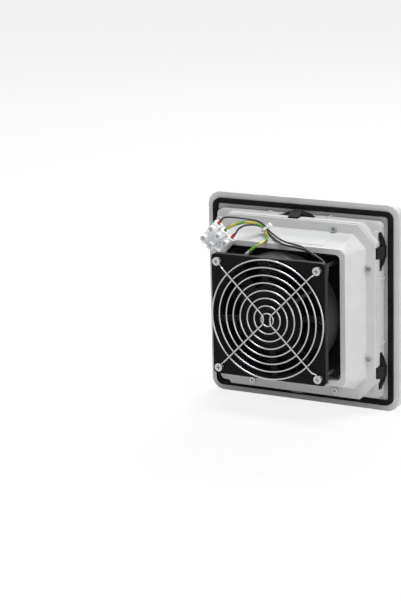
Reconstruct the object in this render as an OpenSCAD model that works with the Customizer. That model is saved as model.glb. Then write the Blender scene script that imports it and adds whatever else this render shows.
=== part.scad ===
// Filter fan for a cabinet wall. Millimetres, Z up.
// The origin is the centre of the wall's square hole, on the sealing face.
// The louvred cover looks along -Y, and the fan stands inside the cabinet, along +Y.

/* [Flange and body] */
// Width of the flange outside the fan, on each side
flange_margin = 42.5; // [41.5:0.5:48]
// Width of the flange outside the wall's hole, on each side
flange_cover = 13.5; // [13:0.5:14.5]
// Radius of the corners of the flange and the cover
flange_corner_r = 13; // [10:1:16]
// Thickness of the flange plate
flange_t = 3.2; // [2.8:0.2:4]
// Space between the body and the edge of that hole, on each side
body_gap = 1.5; // [1:0.1:2]
// Thickness of the moulded walls
wall_t = 2.4; // [2:0.1:2.8]
// Depth of the body behind the sealing face
body_depth = 19.3; // [18.5:0.5:24]
// Chamfer of the rear corners of the body
body_chamfer = 18; // [15:1:21]
// Height of the full square corners behind the sealing face
ledge_y = 6.9; // [6:0.1:9]
// Pitch of the bars behind the filter mat
grid_pitch = 17; // [14:0.5:18]
// Width of one bar
grid_bar_w = 2; // [1.6:0.2:2.6]
// Height of the centring ribs on the body's walls
rib_h = 1.2; // [0.6:0.1:1.3]

/* [Gasket and mat] */
// Width of the sealing ring
gasket_w = 4.6; // [4:0.1:5]
// How far the ring stands behind the flange
gasket_proud = 3.5; // [2.5:0.1:4]
// Depth of the groove that holds the ring
gasket_seat = 1.2; // [0.8:0.1:1.5]
// Distance from the flange's edge to the ring
gasket_margin = 6.1; // [5.6:0.1:6.4]
// Thickness of the filter mat
mat_t = 9; // [6:0.5:9]

/* [Cover] */
// Depth of the cover in front of the flange
cover_depth = 10.6; // [9.6:0.2:14]
// Rounding of the cover's front edge
cover_round = 3.5; // [2:0.5:5]
// Width of the cover's border round the square louvre window
border_w = 21.5; // [20:0.5:27]
// Distance from one louvre blade to the next
louvre_pitch = 9.3; // [8.6:0.1:12]
// Fall of the blades from the middle to the sides, in degrees
louvre_fall = 6.5; // [0:0.5:10]
// Height of a blade's front lip
louvre_lip = 1.8; // [1.4:0.1:2.4]
// Rise of a blade from its front lip to its rear edge
louvre_rise = 5.4; // [4:0.2:6]
// Depth of a blade from front to rear
louvre_depth = 6.4; // [5:0.2:7]
// Radius of the barrel along the lower edge, round the hinge axis
hinge_r = 2.6; // [2.4:0.1:2.8]
// Radius of the hinge pins
hinge_pin_r = 1.1; // [0.9:0.1:1.2]
// Width of a hinge lug
lug_w = 8; // [6:0.5:12]

/* [Fan] */
// Width of the fan's square flanges
fan_w = 119; // [117:0.5:120]
// Depth of the fan
fan_depth = 38; // [36:0.5:42]
// Thickness of each fan flange
fan_flange_t = 6; // [4:0.2:7]
// Distance from a hole of the fan's flanges to their edge
fan_hole_in = 7; // [6.5:0.1:7.5]
// Thickness of the duct round the blades where it is thinnest
duct_wall = 1.5; // [1.2:0.1:3.5]
// Radius of the fan's hub
hub_r = 31; // [30:0.5:33]
// Radius of the rotor's shaft
shaft_r = 2.5; // [2:0.1:3]
// Number of blades
blade_count = 7; // [5:1:9]
// Depth of the pocket that the fan sits in
pocket_depth = 10.1; // [7:0.5:12]
// Space round the fan in its pocket
pocket_gap = 2.5; // [1.5:0.1:3]
// Width of the pocket's rim
rim_w = 5.2; // [4:0.2:6]
// Radius of a long screw's shank
fan_screw_r = 2; // [1.6:0.1:2.1]

/* [Finger guard] */
// Distance from the outer ring to the edge of the fan
guard_in = 1.1; // [0.9:0.1:3.5]
// Number of rings
guard_rings = 8; // [6:1:9]
// Radius of the wire
wire_r = 0.8; // [0.6:0.1:0.9]
// Radius of the smallest ring
guard_inner_r = 6.3; // [5.5:0.1:7]

/* [Spring clips] */
// Length of a clip's bow
clip_w = 37; // [32:1:40]
// How far a clip stands out of the wall
clip_out = 4.3; // [4.1:0.1:4.8]
// How far a clip gives way when the fan is pushed into the wall
clip_travel = 3.2; // [2:0.1:3.3]
// Distance from the middle of a side clip to the corner of the body
clip_corner_in = 28; // [27:1:31]

/* [Terminal block] */
// Length of the terminal block along its wires
block_l = 25; // [22:0.5:28]
// Distance from pole to pole
pole_pitch = 9.5; // [9.2:0.1:11]
// Radius of a wire entry
entry_r = 2; // [1.8:0.1:2.1]
// Turn of the block out of the level, in degrees
block_turn = 48; // [42:1:50]

/* [Hidden] */

// Overrun of every cut
over = 0.5;
// Gap between two pieces that lie beside each other
seam = 0.2;
// Space round a piece that is pushed into its place
ease = 0.1;
// Space round a shaft or a pin that turns
turn_gap = 0.05;
// Space round a screw in a clearance hole
screw_gap = 0.15;
// Share of a length that is its half
half_share = 0.5;
// Roundness of the cylinders
$fn = 64;
// Roundness of the circles that a hull spans
hull_fn = 32;

// Widths that follow from the fan
fan_half = fan_w / 2;
flange_w = fan_w + 2 * flange_margin;
cutout_w = flange_w - 2 * flange_cover;
window_w = flange_w - 2 * border_w;

// Places along Y, from the front of the cover to the rear of the guard
flange_rear_y = -gasket_proud;
flange_front_y = flange_rear_y - flange_t;
cover_rear_y = flange_front_y - seam;
cover_front_y = cover_rear_y - cover_depth;
grid_t = 2.5;
mat_gap = 0.3;
louvre_rear_y = cover_front_y + louvre_depth;
window_collar_y = louvre_rear_y + 1.2 * wall_t * half_share;
mat_proud = 1.7;
mat_front_y = flange_front_y - mat_proud;
mat_rear_y = mat_front_y + mat_t;
grid_front_y = mat_rear_y + mat_gap;
grid_rear_y = grid_front_y + grid_t;
plate_t = 2.5;
plate_rear_y = body_depth;
plate_front_y = plate_rear_y - plate_t;

// Body
body_w = cutout_w - 2 * body_gap;
body_half = body_w / 2;
body_inner_w = body_w - 2 * wall_t;
body_corner_r = 5;
body_inner_chamfer = body_chamfer - wall_t * (2 - sqrt(2));
rib_w = 2;
rib_y = 8;
rib_in = 55;
rib_at = body_half - rib_in;
gasket_half = flange_w / 2 - gasket_margin;
gasket_corner_r = 7.6;
gasket_inner_half = gasket_half - gasket_w;
gasket_inner_r = gasket_corner_r - gasket_w;
mat_w = body_inner_w - 2 * mat_gap;

// Cover
cover_half = flange_w / 2;
cover_wall_t = wall_t;
window_half = window_w / 2;
collar_t = 2.4;
column_rib_w = 2;
column_rib_at = window_w / 4;
column_rib_set = 1.2;
hinge_y = cover_rear_y - hinge_r;
hinge_z = -cover_half + hinge_r;
lug_in = 42;
lug_at = cover_half - lug_in;
lug_cut = 1.1;
lug_gap = 0.4;
lug_room = 0.7;
hinge_pin_l = 18;
latch_in = 57;
latch_at = cover_half - latch_in;
latch_w = 12;
latch_t = 1.8;
latch_l = 1.8;
latch_sink = 0.4;
latch_gap = 0.3;
badge_w = 30;
badge_h = 11;
badge_t = 0.5;
badge_in = 39;
badge_x = cover_half - badge_in;
badge_r = 1.5;
badge_gap = 1.4;

// Adapter between the body and the fan
plate_inset = 0.8;
plate_half = body_half - plate_inset;
plate_chamfer = body_chamfer - plate_inset * (2 - sqrt(2));
plate_band = 9.2;
cone_half = plate_half - plate_band;
cone_chamfer = plate_chamfer - plate_band * (2 - sqrt(2)) + 0.6 * wall_t * half_share;
fan_corner_r = 4;
pocket_half = fan_half + pocket_gap;
pocket_corner_r = fan_corner_r + pocket_gap * half_share;
rim_half = pocket_half + rim_w;
rim_corner_r = 7;
cone_rise = 16.2;
fan_front_y = plate_rear_y + cone_rise;
fan_rear_y = fan_front_y + fan_depth;
rim_y = fan_front_y + pocket_depth;
rim_lip = 1.5;
floor_t = 2.5;
floor_y = fan_front_y - floor_t;
cone_wall = 2.6;
boss_r = 5;
boss_l = 8;
fan_hole_r = fan_screw_r + screw_gap;
hole_at = fan_half - fan_hole_in;
plate_screw_along_in = 41.6;
plate_screw_along = plate_half - plate_screw_along_in;
plate_screw_in = 6;
plate_screw_at = plate_half - plate_screw_in;
plate_screw_r = 1.25;
plate_screw_l = 11;
plate_head_r = 3;
plate_head_h = 2;
post_r = 4;
post_web = 5;
cone_slope = atan2(cone_half - rim_half, rim_y - rim_lip - plate_rear_y);
label_w = 62;
label_h = 19;
label_t = 0.3;
label_x = -12;

// Fan
duct_r = fan_half - ease;
fan_bore_r = fan_half - duct_wall;
duct_t = duct_r - fan_bore_r;
strut_w = 5;
strut_t = 4;
strut_turn = 5;
strut_set = 1;
base_more = 0.5;
base_r = hub_r + base_more;
base_t = 3;
base_rear_y = fan_rear_y - strut_set;
base_front_y = base_rear_y - base_t;
bearing_r = 8;
bearing_l = 5;
tube_wall = 1.5;
tube_r = bearing_r + tube_wall;
tube_l = 19;
tube_front_y = base_front_y - tube_l;
bearing_set = 0.6;
shoulder_r = 6.6;
front_bearing_y = tube_front_y + bearing_set;
rear_bearing_set = 2.6;
rear_bearing_y = base_rear_y - bearing_l - rear_bearing_set;
spring_t = 1.5;
cap_r = 12;
cap_t = 1.2;
cap_set = 0.3;
shaft_set = 5;
shaft_out = 1.4;
shaft_front_y = fan_front_y + shaft_set;
shaft_rear_y = rear_bearing_y + bearing_l + shaft_out;
groove_gap = 0.3;
retainer_t = 0.6;
retainer_r = 4.6;
cup_wall = 1.5;
hub_wall = 1.5;
cup_r = hub_r - hub_wall;
cup_set = 6.5;
cup_front_y = fan_front_y + cup_set;
cup_l = 20.5;
cage_t = 4.8;
cage_l = 14;
cage_set = 3;
air_gap = 0.4;
core_r = cup_r - cup_wall - cage_t - air_gap;
core_l = 11;
core_set = 4.5;
core_front_y = cup_front_y + core_set;
pole_w = 7;
yoke_r = 13.5;
shoe_t = 3;
shoe_span = 34;
coil_w = 12.4;
coil_over = 2.2;
coil_gap = 0.2;
impeller_face_t = 2;
impeller_front_y = cup_front_y - impeller_face_t;
impeller_l = 22.5;
blade_tip_gap = 1;
blade_tip_r = fan_bore_r - blade_tip_gap;
blade_sink = 0.8;
blade_root_r = hub_r - blade_sink;
blade_set = 1;
blade_front_y = impeller_front_y + blade_set;
blade_hub_l = 20;
blade_tip_l = 21;
blade_hub_sweep = 16;
blade_tip_sweep = 31;
blade_hub_t = 2.4;
blade_tip_t = 1.4;
blade_steps = 5;
blade_sides = 6;
blade_bow = 7;
grommet_set = 9.1;
grommet_y = fan_rear_y - grommet_set;
grommet_r = 2.4;
grommet_head_r = 3;
grommet_head_t = 1.4;
grommet_in = 4.8;
grommet_turn = 144.5;
lead_spacing = 2.2;
sleeve_fall = 15.5;
sleeve_gap = 0.6;
motor_sleeve_r = 2.1;
motor_sleeve_l = 22;
earth_in = 30.5;
earth_drop = 3.7;
earth_x = fan_half - earth_in;
earth_z = fan_half - earth_drop;
earth_screw_r = 1.4;
earth_head_r = 2.6;
earth_head_h = 2;
earth_ring_r = 3.2;
earth_ring_t = 0.8;
earth_turn = -45;
earth_tail_l = 7;
earth_crimp_r = 1.9;
earth_crimp_l = 4.8;
earth_crimp_set = 2.4;

// Finger guard and its screws
guard_r = fan_half - guard_in;
guard_step = (guard_r - guard_inner_r) / (guard_rings - 1);
guard_lift = 2.1;
guard_ring_y = fan_rear_y + guard_lift;
weld = 0.2;
guard_arm_y = guard_ring_y + 2 * wire_r - weld;
eye_gap = 0.3;
eye_r = fan_screw_r + wire_r + eye_gap;
eye_turn = -135;
eye_sweep = 300;
bend_from = 135;
bend_to = 180;
eye_y = fan_rear_y + wire_r;
arm_bend = 3;
arm_in = 3.4;
kink_l = 5;
fan_head_r = 4;
fan_head_h = 2.5;
fan_head_y = eye_y + wire_r + seam * half_share;
fan_screw_end = 1;
fan_screw_y = floor_y - boss_l + fan_screw_end;
cross_w = 0.9;
cross_l = 4;
cross_deep = 1.1;

// Spring clips
clip_side_z = body_half - clip_corner_in;
clip_t = 1.8;
clip_y = 3;
clip_deep = 6;
clip_sink = 1.2;
clip_lock_y = 2.2;
clip_block_w = 11;
clip_block_sink = 2;
clip_crest_y = 8.5;
clip_tail_out = 0.9;
clip_tail_y = plate_front_y - ledge_y * 0.1;
clip_ease = 0.3;
tray_wall = 1.5;

// Terminal block and its bracket
bracket_t = 1.2;
bracket_lift = 0.4;
bracket_top_y = rim_y + bracket_lift + bracket_t;
bracket_gap = 0.6;
bracket_riser_x = cone_half + bracket_gap;
bracket_foot_w = 7.8;
bracket_w = 9;
bracket_drop = 7.2;
bracket_z = plate_half - plate_chamfer - bracket_drop;
bracket_pad_end = 6.2;
bracket_pad_up = 5;
bracket_screw_x = bracket_riser_x + bracket_foot_w * half_share;
block_over_rim = 3.7;
block_above_rim = 0.7;
block_x = rim_half - block_over_rim;
block_z = rim_half + block_above_rim;
bracket_pad_x = block_x - bracket_pad_end;
pole_r = 4.3;
pole_y = 5;
block_h = 14;
block_wall = 3;
tower_r = 3.1;
tower_at = 6.4;
well_r = 2.3;
well_y = 7;
web_l = 16;
web_y = 7.5;
pole_wall = 1.6;
clamp_r = pole_r - pole_wall;
clamp_gap = 0.05;
clamp_bore_more = 0.2;
clamp_bore_r = entry_r + clamp_bore_more;
clamp_screw_r = 1.2;
clamp_head_r = 2;
clamp_head_h = 1.6;
clamp_open = 2.4;
slot_w = 0.6;
slot_deep = 0.6;
pin_r = 0.85;
pin_l = 8;
sleeve_l = 6;
sleeve_sink = 1.8;
bare_sink = 1.2;
sleeve_r = 1.7;
lead_entry_r = sleeve_r + ease;
sleeve_nose_r = 1.45;
block_screw_r = 1;
block_head_r = 1.5;
block_head_h = 1.2;
bracket_screw_r = 1.4;
bracket_head_r = 2.5;

// Leads. Each list is the route of one lead from the terminal block, chosen by hand.
black_r = 0.95;
earth_r = 1.45;
lead_sides = 8;
black_outer_route = [
    [59.4, 52.2, 86.7], [57.3, 52.3, 88.9], [53.8, 52.4, 90.3], [48.9, 52.2, 90.7],
    [44.0, 51.2, 90.7], [39.2, 49.1, 90.0], [34.7, 46.2, 89.1], [30.5, 42.8, 87.8],
    [26.9, 38.9, 86.0], [24.3, 35.9, 83.6], [22.4, 34.0, 80.9], [20.6, 33.0, 78.5],
    [18.8, 33.1, 76.7], [16.2, 33.9, 75.4], [11.6, 36.3, 73.9], [5.7, 40.3, 72.3],
    [-0.3, 44.3, 71.2], [-6.4, 47.9, 70.6], [-12.8, 51.4, 70.4], [-17.9, 53.9, 70.5],
    [-23.1, 56.3, 70.5], [-28.3, 58.5, 70.2], [-33.5, 60.5, 69.0], [-39.0, 61.9, 66.6],
    [-44.5, 63.0, 64.0], [-50.0, 63.9, 61.6], [-54.4, 64.4, 58.4], [-57.0, 64.4, 53.9],
    [-57.6, 64.4, 48.6], [-57.4, 64.4, 43.4], [-55.0, 64.4, 38.3], [-50.1, 64.4, 34.4],
    [-46.6, 64.4, 31.9]];
black_inner_route = [
    [45.2, 52.2, 74.0], [43.2, 52.1, 76.4], [41.2, 50.4, 79.8], [37.9, 47.1, 82.0],
    [33.9, 43.1, 82.6], [29.8, 39.0, 82.0], [26.3, 35.6, 80.4], [24.2, 33.8, 78.9],
    [22.4, 33.0, 77.2], [20.5, 33.3, 75.3], [17.9, 34.5, 73.9], [13.4, 37.2, 72.0],
    [8.0, 41.0, 70.2], [2.4, 44.7, 69.1], [-3.4, 47.9, 68.2], [-9.2, 50.5, 67.9],
    [-15.0, 52.7, 67.8], [-20.6, 54.5, 67.8], [-26.2, 56.1, 67.5], [-32.0, 57.4, 66.6],
    [-38.0, 58.9, 65.0], [-44.0, 60.4, 62.9], [-49.8, 61.6, 60.6], [-54.4, 62.0, 57.2],
    [-57.0, 62.0, 52.6], [-56.6, 62.3, 47.6], [-54.6, 63.2, 43.2], [-52.0, 64.1, 39.6],
    [-48.9, 64.4, 36.2], [-45.3, 64.4, 33.6]];
earth_route = [
    [55.9, 52.2, 76.3], [53.0, 52.2, 79.4], [46.9, 51.7, 82.7], [40.9, 50.1, 84.9],
    [35.4, 47.2, 86.0], [30.2, 43.3, 85.2], [25.6, 39.0, 82.5], [23.1, 36.7, 80.2],
    [21.3, 35.7, 77.6], [19.6, 36.4, 75.2], [17.6, 38.6, 73.2], [15.9, 42.0, 71.6],
    [14.6, 46.9, 70.2], [14.6, 53.4, 69.2], [15.8, 59.4, 68.3], [18.6, 63.6, 66.3],
    [22.1, 64.9, 62.7]];
tie_at = [21.4, 34.4, 77.8];
tie_turn = 38;
tie_r = 3.1;
tie_t = 1;
tie_w = 2.6;
tie_head = 4.6;

// Colours
abs_grey = [0.78, 0.79, 0.79];
adapter_grey = [0.8, 0.8, 0.8];
rubber_black = [0.05, 0.05, 0.05];
fan_black = [0.09, 0.09, 0.1];
clip_black = [0.06, 0.06, 0.06];
zinc = [0.75, 0.76, 0.78];
steel = [0.6, 0.61, 0.63];
copper = [0.72, 0.4, 0.22];
brass = [0.8, 0.66, 0.36];
fleece = [0.9, 0.91, 0.9];
clear_white = [0.93, 0.95, 0.97, 0.7];
ferrule_red = [0.72, 0.1, 0.1];
earth_green = [0.55, 0.72, 0.15];
tie_white = [0.95, 0.95, 0.93];

// General shapes

// A flat outline in X and Z, drawn out along Y from one place to another
module along_y(from_y, to_y) {
    translate([0, to_y, 0])
        rotate([90, 0, 0])
            linear_extrude(to_y - from_y)
                children();
}

// A cylinder along Y at a place in X and Z
module pin_y(r, from_y, to_y, at = [0, 0]) {
    translate([at[0], to_y, at[1]])
        rotate([90, 0, 0])
            cylinder(r = r, h = to_y - from_y);
}

// A cylinder along X at a place in Y and Z
module pin_x(r, from_x, to_x, at = [0, 0]) {
    translate([from_x, at[0], at[1]])
        rotate([0, 90, 0])
            cylinder(r = r, h = to_x - from_x);
}

// A square with rounded corners
module rounded_square(w, r) {
    square([w - 2 * r, w], center = true);
    square([w, w - 2 * r], center = true);
    for (sx = [-1, 1], sz = [-1, 1])
        translate([sx * (w / 2 - r), sz * (w / 2 - r)])
            circle(r);
}

// A square with chamfered corners, given by its half width
module cut_square(h, c) {
    polygon([[h - c, h], [h, h - c], [h, c - h], [h - c, -h],
             [c - h, -h], [-h, c - h], [-h, h - c], [c - h, h]]);
}

// Copies on the four corners of a square in X and Z
module on_corners(at) {
    for (sx = [-1, 1], sz = [-1, 1])
        translate([sx * at, 0, sz * at])
            children();
}

// A frame on a side wall: X points out of the wall, Z runs along it
module on_side(turn, along) {
    rotate([0, turn, 0])
        translate([body_half, 0, along])
            children();
}

function unit(v) = v / norm(v);
function across(d) = unit(cross(d, abs(d[1]) < 0.9 * norm(d) ? [0, 1, 0] : [1, 0, 0]));
function heading(p, i) = unit(p[min(i + 1, len(p) - 1)] - p[max(i - 1, 0)]);

// A tube of constant radius swept along a list of points, one ring at each point
module tube(points, r, sides) {
    n = len(points);
    rings = [for (i = [0 : n - 1])
        let (d = heading(points, i), a = across(d), b = cross(d, a))
        for (k = [0 : sides - 1])
            points[i] + r * (cos(360 * k / sides) * a + sin(360 * k / sides) * b)];
    skin = [for (i = [0 : n - 2], k = [0 : sides - 1])
        let (k2 = (k + 1) % sides, p = i * sides, q = p + sides)
        each [[p + k, q + k, p + k2], [p + k2, q + k, q + k2]]];
    caps = [for (k = [1 : sides - 2])
        each [[0, k, k + 1], [(n - 1) * sides, (n - 1) * sides + k + 1, (n - 1) * sides + k]]];
    polyhedron(rings, concat(skin, caps));
}

// Body, seal and mat

module clip_places() {
    on_side(-90, 0) children();
    on_side(90, 0) children();
    for (turn = [0, 180], side = [-1, 1])
        on_side(turn, side * clip_side_z)
            children();
}

// The tray that a clip sinks into, as a solid block grown by a wall
module clip_tray(grow) {
    tray_w = clip_w + 2 * clip_ease;
    deep = clip_sink + clip_travel + clip_ease;
    y0 = clip_y - 1.3 * clip_ease;
    y1 = clip_y + clip_deep + 1.3 * clip_ease;
    translate([-deep - grow, y0 - grow, -tray_w / 2 - grow])
        cube([deep + grow + (grow > 0 ? -wall_t * half_share : over), y1 - y0 + 2 * grow,
              tray_w + 2 * grow]);
    slot_w = clip_block_w + 2 * clip_ease;
    slot_deep = clip_block_sink + clip_travel + clip_ease;
    s0 = clip_lock_y - clip_ease;
    translate([-slot_deep - grow, s0 - grow, -slot_w / 2 - grow])
        cube([slot_deep + grow + (grow > 0 ? -wall_t * half_share : over),
              plate_front_y - s0 + grow + (grow > 0 ? 0 : over), slot_w + 2 * grow]);
}

module mat_grid() {
    bars = floor((body_inner_w / 2 - grid_bar_w) / grid_pitch);
    span = body_inner_w + wall_t;
    for (i = [-bars : bars]) {
        translate([i * grid_pitch - grid_bar_w / 2, grid_front_y, -span / 2])
            cube([grid_bar_w, grid_t, span]);
        translate([-span / 2, grid_front_y, i * grid_pitch - grid_bar_w / 2])
            cube([span, grid_t, grid_bar_w]);
    }
}

module plate_screw_places() {
    for (turn = [0, 90, 180, 270], side = [-1, 1])
        rotate([0, turn, 0])
            translate([plate_screw_at, 0, side * plate_screw_along])
                children();
}

module screw_posts() {
    plate_screw_places() {
        pin_y(post_r, grid_front_y, plate_front_y);
        translate([0, grid_front_y, -post_web / 2])
            cube([body_half - plate_screw_at - wall_t * half_share,
                  plate_front_y - grid_front_y, post_web]);
    }
}

module hinge_lugs() {
    for (side = [-1, 1])
        translate([side * lug_at - lug_w / 2, 0, 0])
            difference() {
                union() {
                    pin_x(hinge_r, 0, lug_w, [hinge_y, hinge_z]);
                    translate([0, hinge_y, hinge_z - hinge_r + lug_cut])
                        cube([lug_w, flange_front_y - hinge_y + flange_t * half_share,
                              2 * hinge_r - lug_cut]);
                }
                pin_x(hinge_pin_r + turn_gap, -over, lug_w + over, [hinge_y, hinge_z]);
            }
}

module base_shell() {
    along_y(flange_front_y, flange_rear_y)
        rounded_square(flange_w, flange_corner_r);
    along_y(flange_front_y, ledge_y)
        rounded_square(body_w, body_corner_r);
    along_y(ledge_y - wall_t, plate_front_y)
        cut_square(body_half, body_chamfer);
    for (turn = [0, 90, 180, 270], side = [-1, 1])
        rotate([0, turn, 0])
            translate([body_half - wall_t * half_share, flange_rear_y, side * rib_at - rib_w / 2])
                cube([rib_h + wall_t * half_share, rib_y - flange_rear_y, rib_w]);
}

module base_hollow() {
    along_y(flange_front_y - over, ledge_y - wall_t)
        square([body_inner_w, body_inner_w], center = true);
    along_y(ledge_y - wall_t - over, plate_front_y + over)
        cut_square(body_half - wall_t, body_inner_chamfer);
}

module gasket_ring(grow) {
    difference() {
        rounded_square(2 * (gasket_half + grow), gasket_corner_r + grow);
        rounded_square(2 * (gasket_inner_half - grow), gasket_inner_r - grow);
    }
}

module base_frame() {
    color(abs_grey)
        difference() {
            union() {
                difference() {
                    base_shell();
                    base_hollow();
                }
                mat_grid();
                screw_posts();
                intersection() {
                    clip_places() clip_tray(tray_wall);
                    along_y(grid_front_y, plate_front_y)
                        square([body_w - wall_t, body_w - wall_t], center = true);
                }
                hinge_lugs();
            }
            clip_places() clip_tray(0);
            plate_screw_places()
                pin_y(plate_screw_r + turn_gap, plate_rear_y - plate_screw_l - over,
                      plate_front_y + over);
            along_y(flange_rear_y - gasket_seat, flange_rear_y + over)
                gasket_ring(ease);
            for (side = [-1, 1])
                translate([side * latch_at - latch_w / 2 - latch_gap, flange_front_y - over,
                           cover_half - cover_wall_t + latch_sink - latch_t - latch_gap])
                    cube([latch_w + 2 * latch_gap, latch_l + latch_gap + over,
                          latch_t + 2 * latch_gap]);
        }
}

module panel_gasket() {
    color(rubber_black)
        along_y(flange_rear_y - gasket_seat, 0)
            gasket_ring(0);
}

module filter_mat() {
    color(fleece)
        along_y(mat_front_y, mat_rear_y)
            square([mat_w, mat_w], center = true);
}

// Adapter

module adapter_cone() {
    hull() {
        along_y(plate_rear_y - plate_t * half_share, plate_rear_y)
            cut_square(cone_half, cone_chamfer);
        along_y(rim_y - 2 * rim_lip, rim_y - rim_lip)
            rounded_square(2 * rim_half, rim_corner_r, $fn = hull_fn);
    }
}

module adapter_hollow() {
    inner_half = cone_half - cone_wall;
    shrink = (floor_y - plate_rear_y) * tan(cone_slope);
    hull() {
        along_y(plate_front_y - over, plate_rear_y)
            cut_square(inner_half, cone_chamfer);
        along_y(floor_y - floor_t * half_share, floor_y)
            cut_square(inner_half - shrink, cone_chamfer * half_share);
    }
}

module fan_adapter() {
    color(adapter_grey)
        difference() {
            union() {
                difference() {
                    union() {
                        along_y(plate_front_y, plate_rear_y)
                            cut_square(plate_half, plate_chamfer);
                        adapter_cone();
                        along_y(rim_y - 2 * rim_lip, rim_y)
                            rounded_square(2 * rim_half, rim_corner_r);
                    }
                    adapter_hollow();
                    along_y(fan_front_y, rim_y + over)
                        rounded_square(2 * pocket_half, pocket_corner_r);
                }
                on_corners(hole_at)
                    pin_y(boss_r, floor_y - boss_l, floor_y + floor_t * half_share);
            }
            pin_y(fan_bore_r, floor_y - over, fan_front_y + over);
            on_corners(hole_at)
                pin_y(fan_screw_r + turn_gap, floor_y - boss_l - over, fan_front_y + over);
            plate_screw_places()
                pin_y(plate_screw_r + screw_gap, plate_front_y - over, plate_rear_y + over);
            pin_y(bracket_screw_r + turn_gap, plate_front_y - over, plate_rear_y + over,
                  [bracket_screw_x, bracket_z]);
        }
}

module cross_slot(l, w, from_y, to_y) {
    for (turn = [0, 90])
        rotate([0, turn, 0])
            translate([-l / 2, from_y, -w / 2])
                cube([l, to_y - from_y, w]);
}

module adapter_screws() {
    color(zinc)
        plate_screw_places()
            difference() {
                union() {
                    pin_y(plate_screw_r, plate_rear_y - plate_screw_l, plate_rear_y + ease);
                    pin_y(plate_head_r, plate_rear_y, plate_rear_y + plate_head_h);
                }
                rotate([0, 45, 0])
                    cross_slot(cross_l, cross_w, plate_rear_y + plate_head_h - cross_deep,
                               plate_rear_y + plate_head_h + over);
            }
}

// The blank label lies on the adapter's upper slope
module rating_label() {
    slope_mid_y = (plate_rear_y + rim_y - rim_lip) / 2;
    slope_mid_z = (cone_half + rim_half) / 2;
    color(tie_white)
        translate([label_x, slope_mid_y, slope_mid_z])
            rotate([-cone_slope, 0, 0])
                translate([-label_w / 2, -label_h / 2, 0])
                    cube([label_w, label_h, label_t]);
}

// Fan frame and motor

module fan_struts() {
    for (turn = [0, 90, 180, 270])
        rotate([0, turn + strut_turn, 0])
            translate([base_r - wall_t, base_rear_y - strut_t, -strut_w / 2])
                cube([fan_bore_r - base_r + wall_t + duct_t * half_share, strut_t, strut_w]);
}

module fan_frame() {
    color(fan_black)
        difference() {
            union() {
                difference() {
                    union() {
                        along_y(fan_front_y, fan_front_y + fan_flange_t)
                            rounded_square(fan_w, fan_corner_r);
                        along_y(fan_rear_y - fan_flange_t, fan_rear_y)
                            rounded_square(fan_w, fan_corner_r);
                        pin_y(duct_r, fan_front_y + fan_flange_t * half_share,
                              fan_rear_y - fan_flange_t * half_share);
                    }
                    pin_y(fan_bore_r, fan_front_y - over, fan_rear_y + over);
                }
                fan_struts();
                pin_y(base_r, base_front_y, base_rear_y);
                pin_y(tube_r, tube_front_y, base_rear_y - base_t * half_share);
            }
            on_corners(hole_at)
                pin_y(fan_hole_r, fan_front_y - over, fan_rear_y + over);
            pin_y(bearing_r, tube_front_y - over, front_bearing_y + bearing_l + spring_t);
            pin_y(shoulder_r, tube_front_y, base_rear_y);
            pin_y(bearing_r, rear_bearing_y, base_rear_y - cap_t);
            pin_y(cap_r + ease, base_rear_y - cap_t - cap_set, base_rear_y + over);
            at_grommet()
                pin_x(grommet_r, fan_bore_r - 2 * over, duct_r + over);
            pin_y(earth_screw_r + turn_gap, fan_rear_y - fan_flange_t - over,
                  fan_rear_y - fan_flange_t * half_share, [earth_x, earth_z]);
        }
}

module stator_core() {
    color(steel)
        difference() {
            union() {
                pin_y(yoke_r, core_front_y, core_front_y + core_l);
                for (turn = [45, 135, 225, 315])
                    rotate([0, turn, 0]) {
                        translate([tube_r, core_front_y, -pole_w / 2])
                            cube([core_r - shoe_t - tube_r + shoe_t * half_share, core_l,
                                  pole_w]);
                        pole_shoe();
                    }
            }
            pin_y(tube_r, core_front_y - over, core_front_y + core_l + over);
        }
}

// A shoe is a slice of a ring, as wide as its span
module pole_shoe() {
    reach = core_r * tan(shoe_span);
    along_y(core_front_y, core_front_y + core_l)
        intersection() {
            difference() {
                circle(core_r);
                circle(core_r - shoe_t);
            }
            polygon([[0, 0], [core_r, -reach], [core_r, reach]]);
        }
}

module stator_windings() {
    shoe_r = core_r - shoe_t;
    coil_l = sqrt(shoe_r * shoe_r - coil_w * coil_w / 4) - yoke_r - 3 * coil_gap;
    color(copper)
        for (turn = [45, 135, 225, 315])
            rotate([0, turn, 0])
                translate([yoke_r + 2 * coil_gap, core_front_y - coil_over, -coil_w / 2])
                    difference() {
                        cube([coil_l, core_l + 2 * coil_over, coil_w]);
                        translate([-over, coil_over - coil_gap, (coil_w - pole_w) / 2 - coil_gap])
                            cube([coil_l + 2 * over, core_l + 2 * coil_gap,
                                  pole_w + 2 * coil_gap]);
                    }
}

module bearing(from_y) {
    difference() {
        pin_y(bearing_r, from_y, from_y + bearing_l);
        pin_y(shaft_r + turn_gap * half_share, from_y - over, from_y + bearing_l + over);
        for (end_y = [from_y - over, from_y + bearing_l - wire_r])
            difference() {
                pin_y(bearing_r - tube_wall, end_y, end_y + over + wire_r);
                pin_y(shaft_r + tube_wall, end_y - over, end_y + 3 * over);
            }
    }
}

module front_bearing() {
    color(steel) bearing(front_bearing_y);
}

module rear_bearing() {
    color(steel) bearing(rear_bearing_y);
}

// The spring washer that takes up the play of the front bearing
module preload_spring() {
    y0 = front_bearing_y + bearing_l;
    color(steel)
        difference() {
            pin_y(bearing_r - ease, y0, y0 + spring_t);
            pin_y(shoulder_r - ease, y0 - over, y0 + spring_t + over);
        }
}

module motor_cap() {
    color(fan_black)
        difference() {
            pin_y(cap_r, base_rear_y - cap_t - cap_set, base_rear_y - cap_set);
            pin_y(retainer_r + ease, base_rear_y - cap_t - cap_set - over,
                  base_rear_y - cap_t - cap_set + cap_t * half_share);
        }
}

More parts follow.
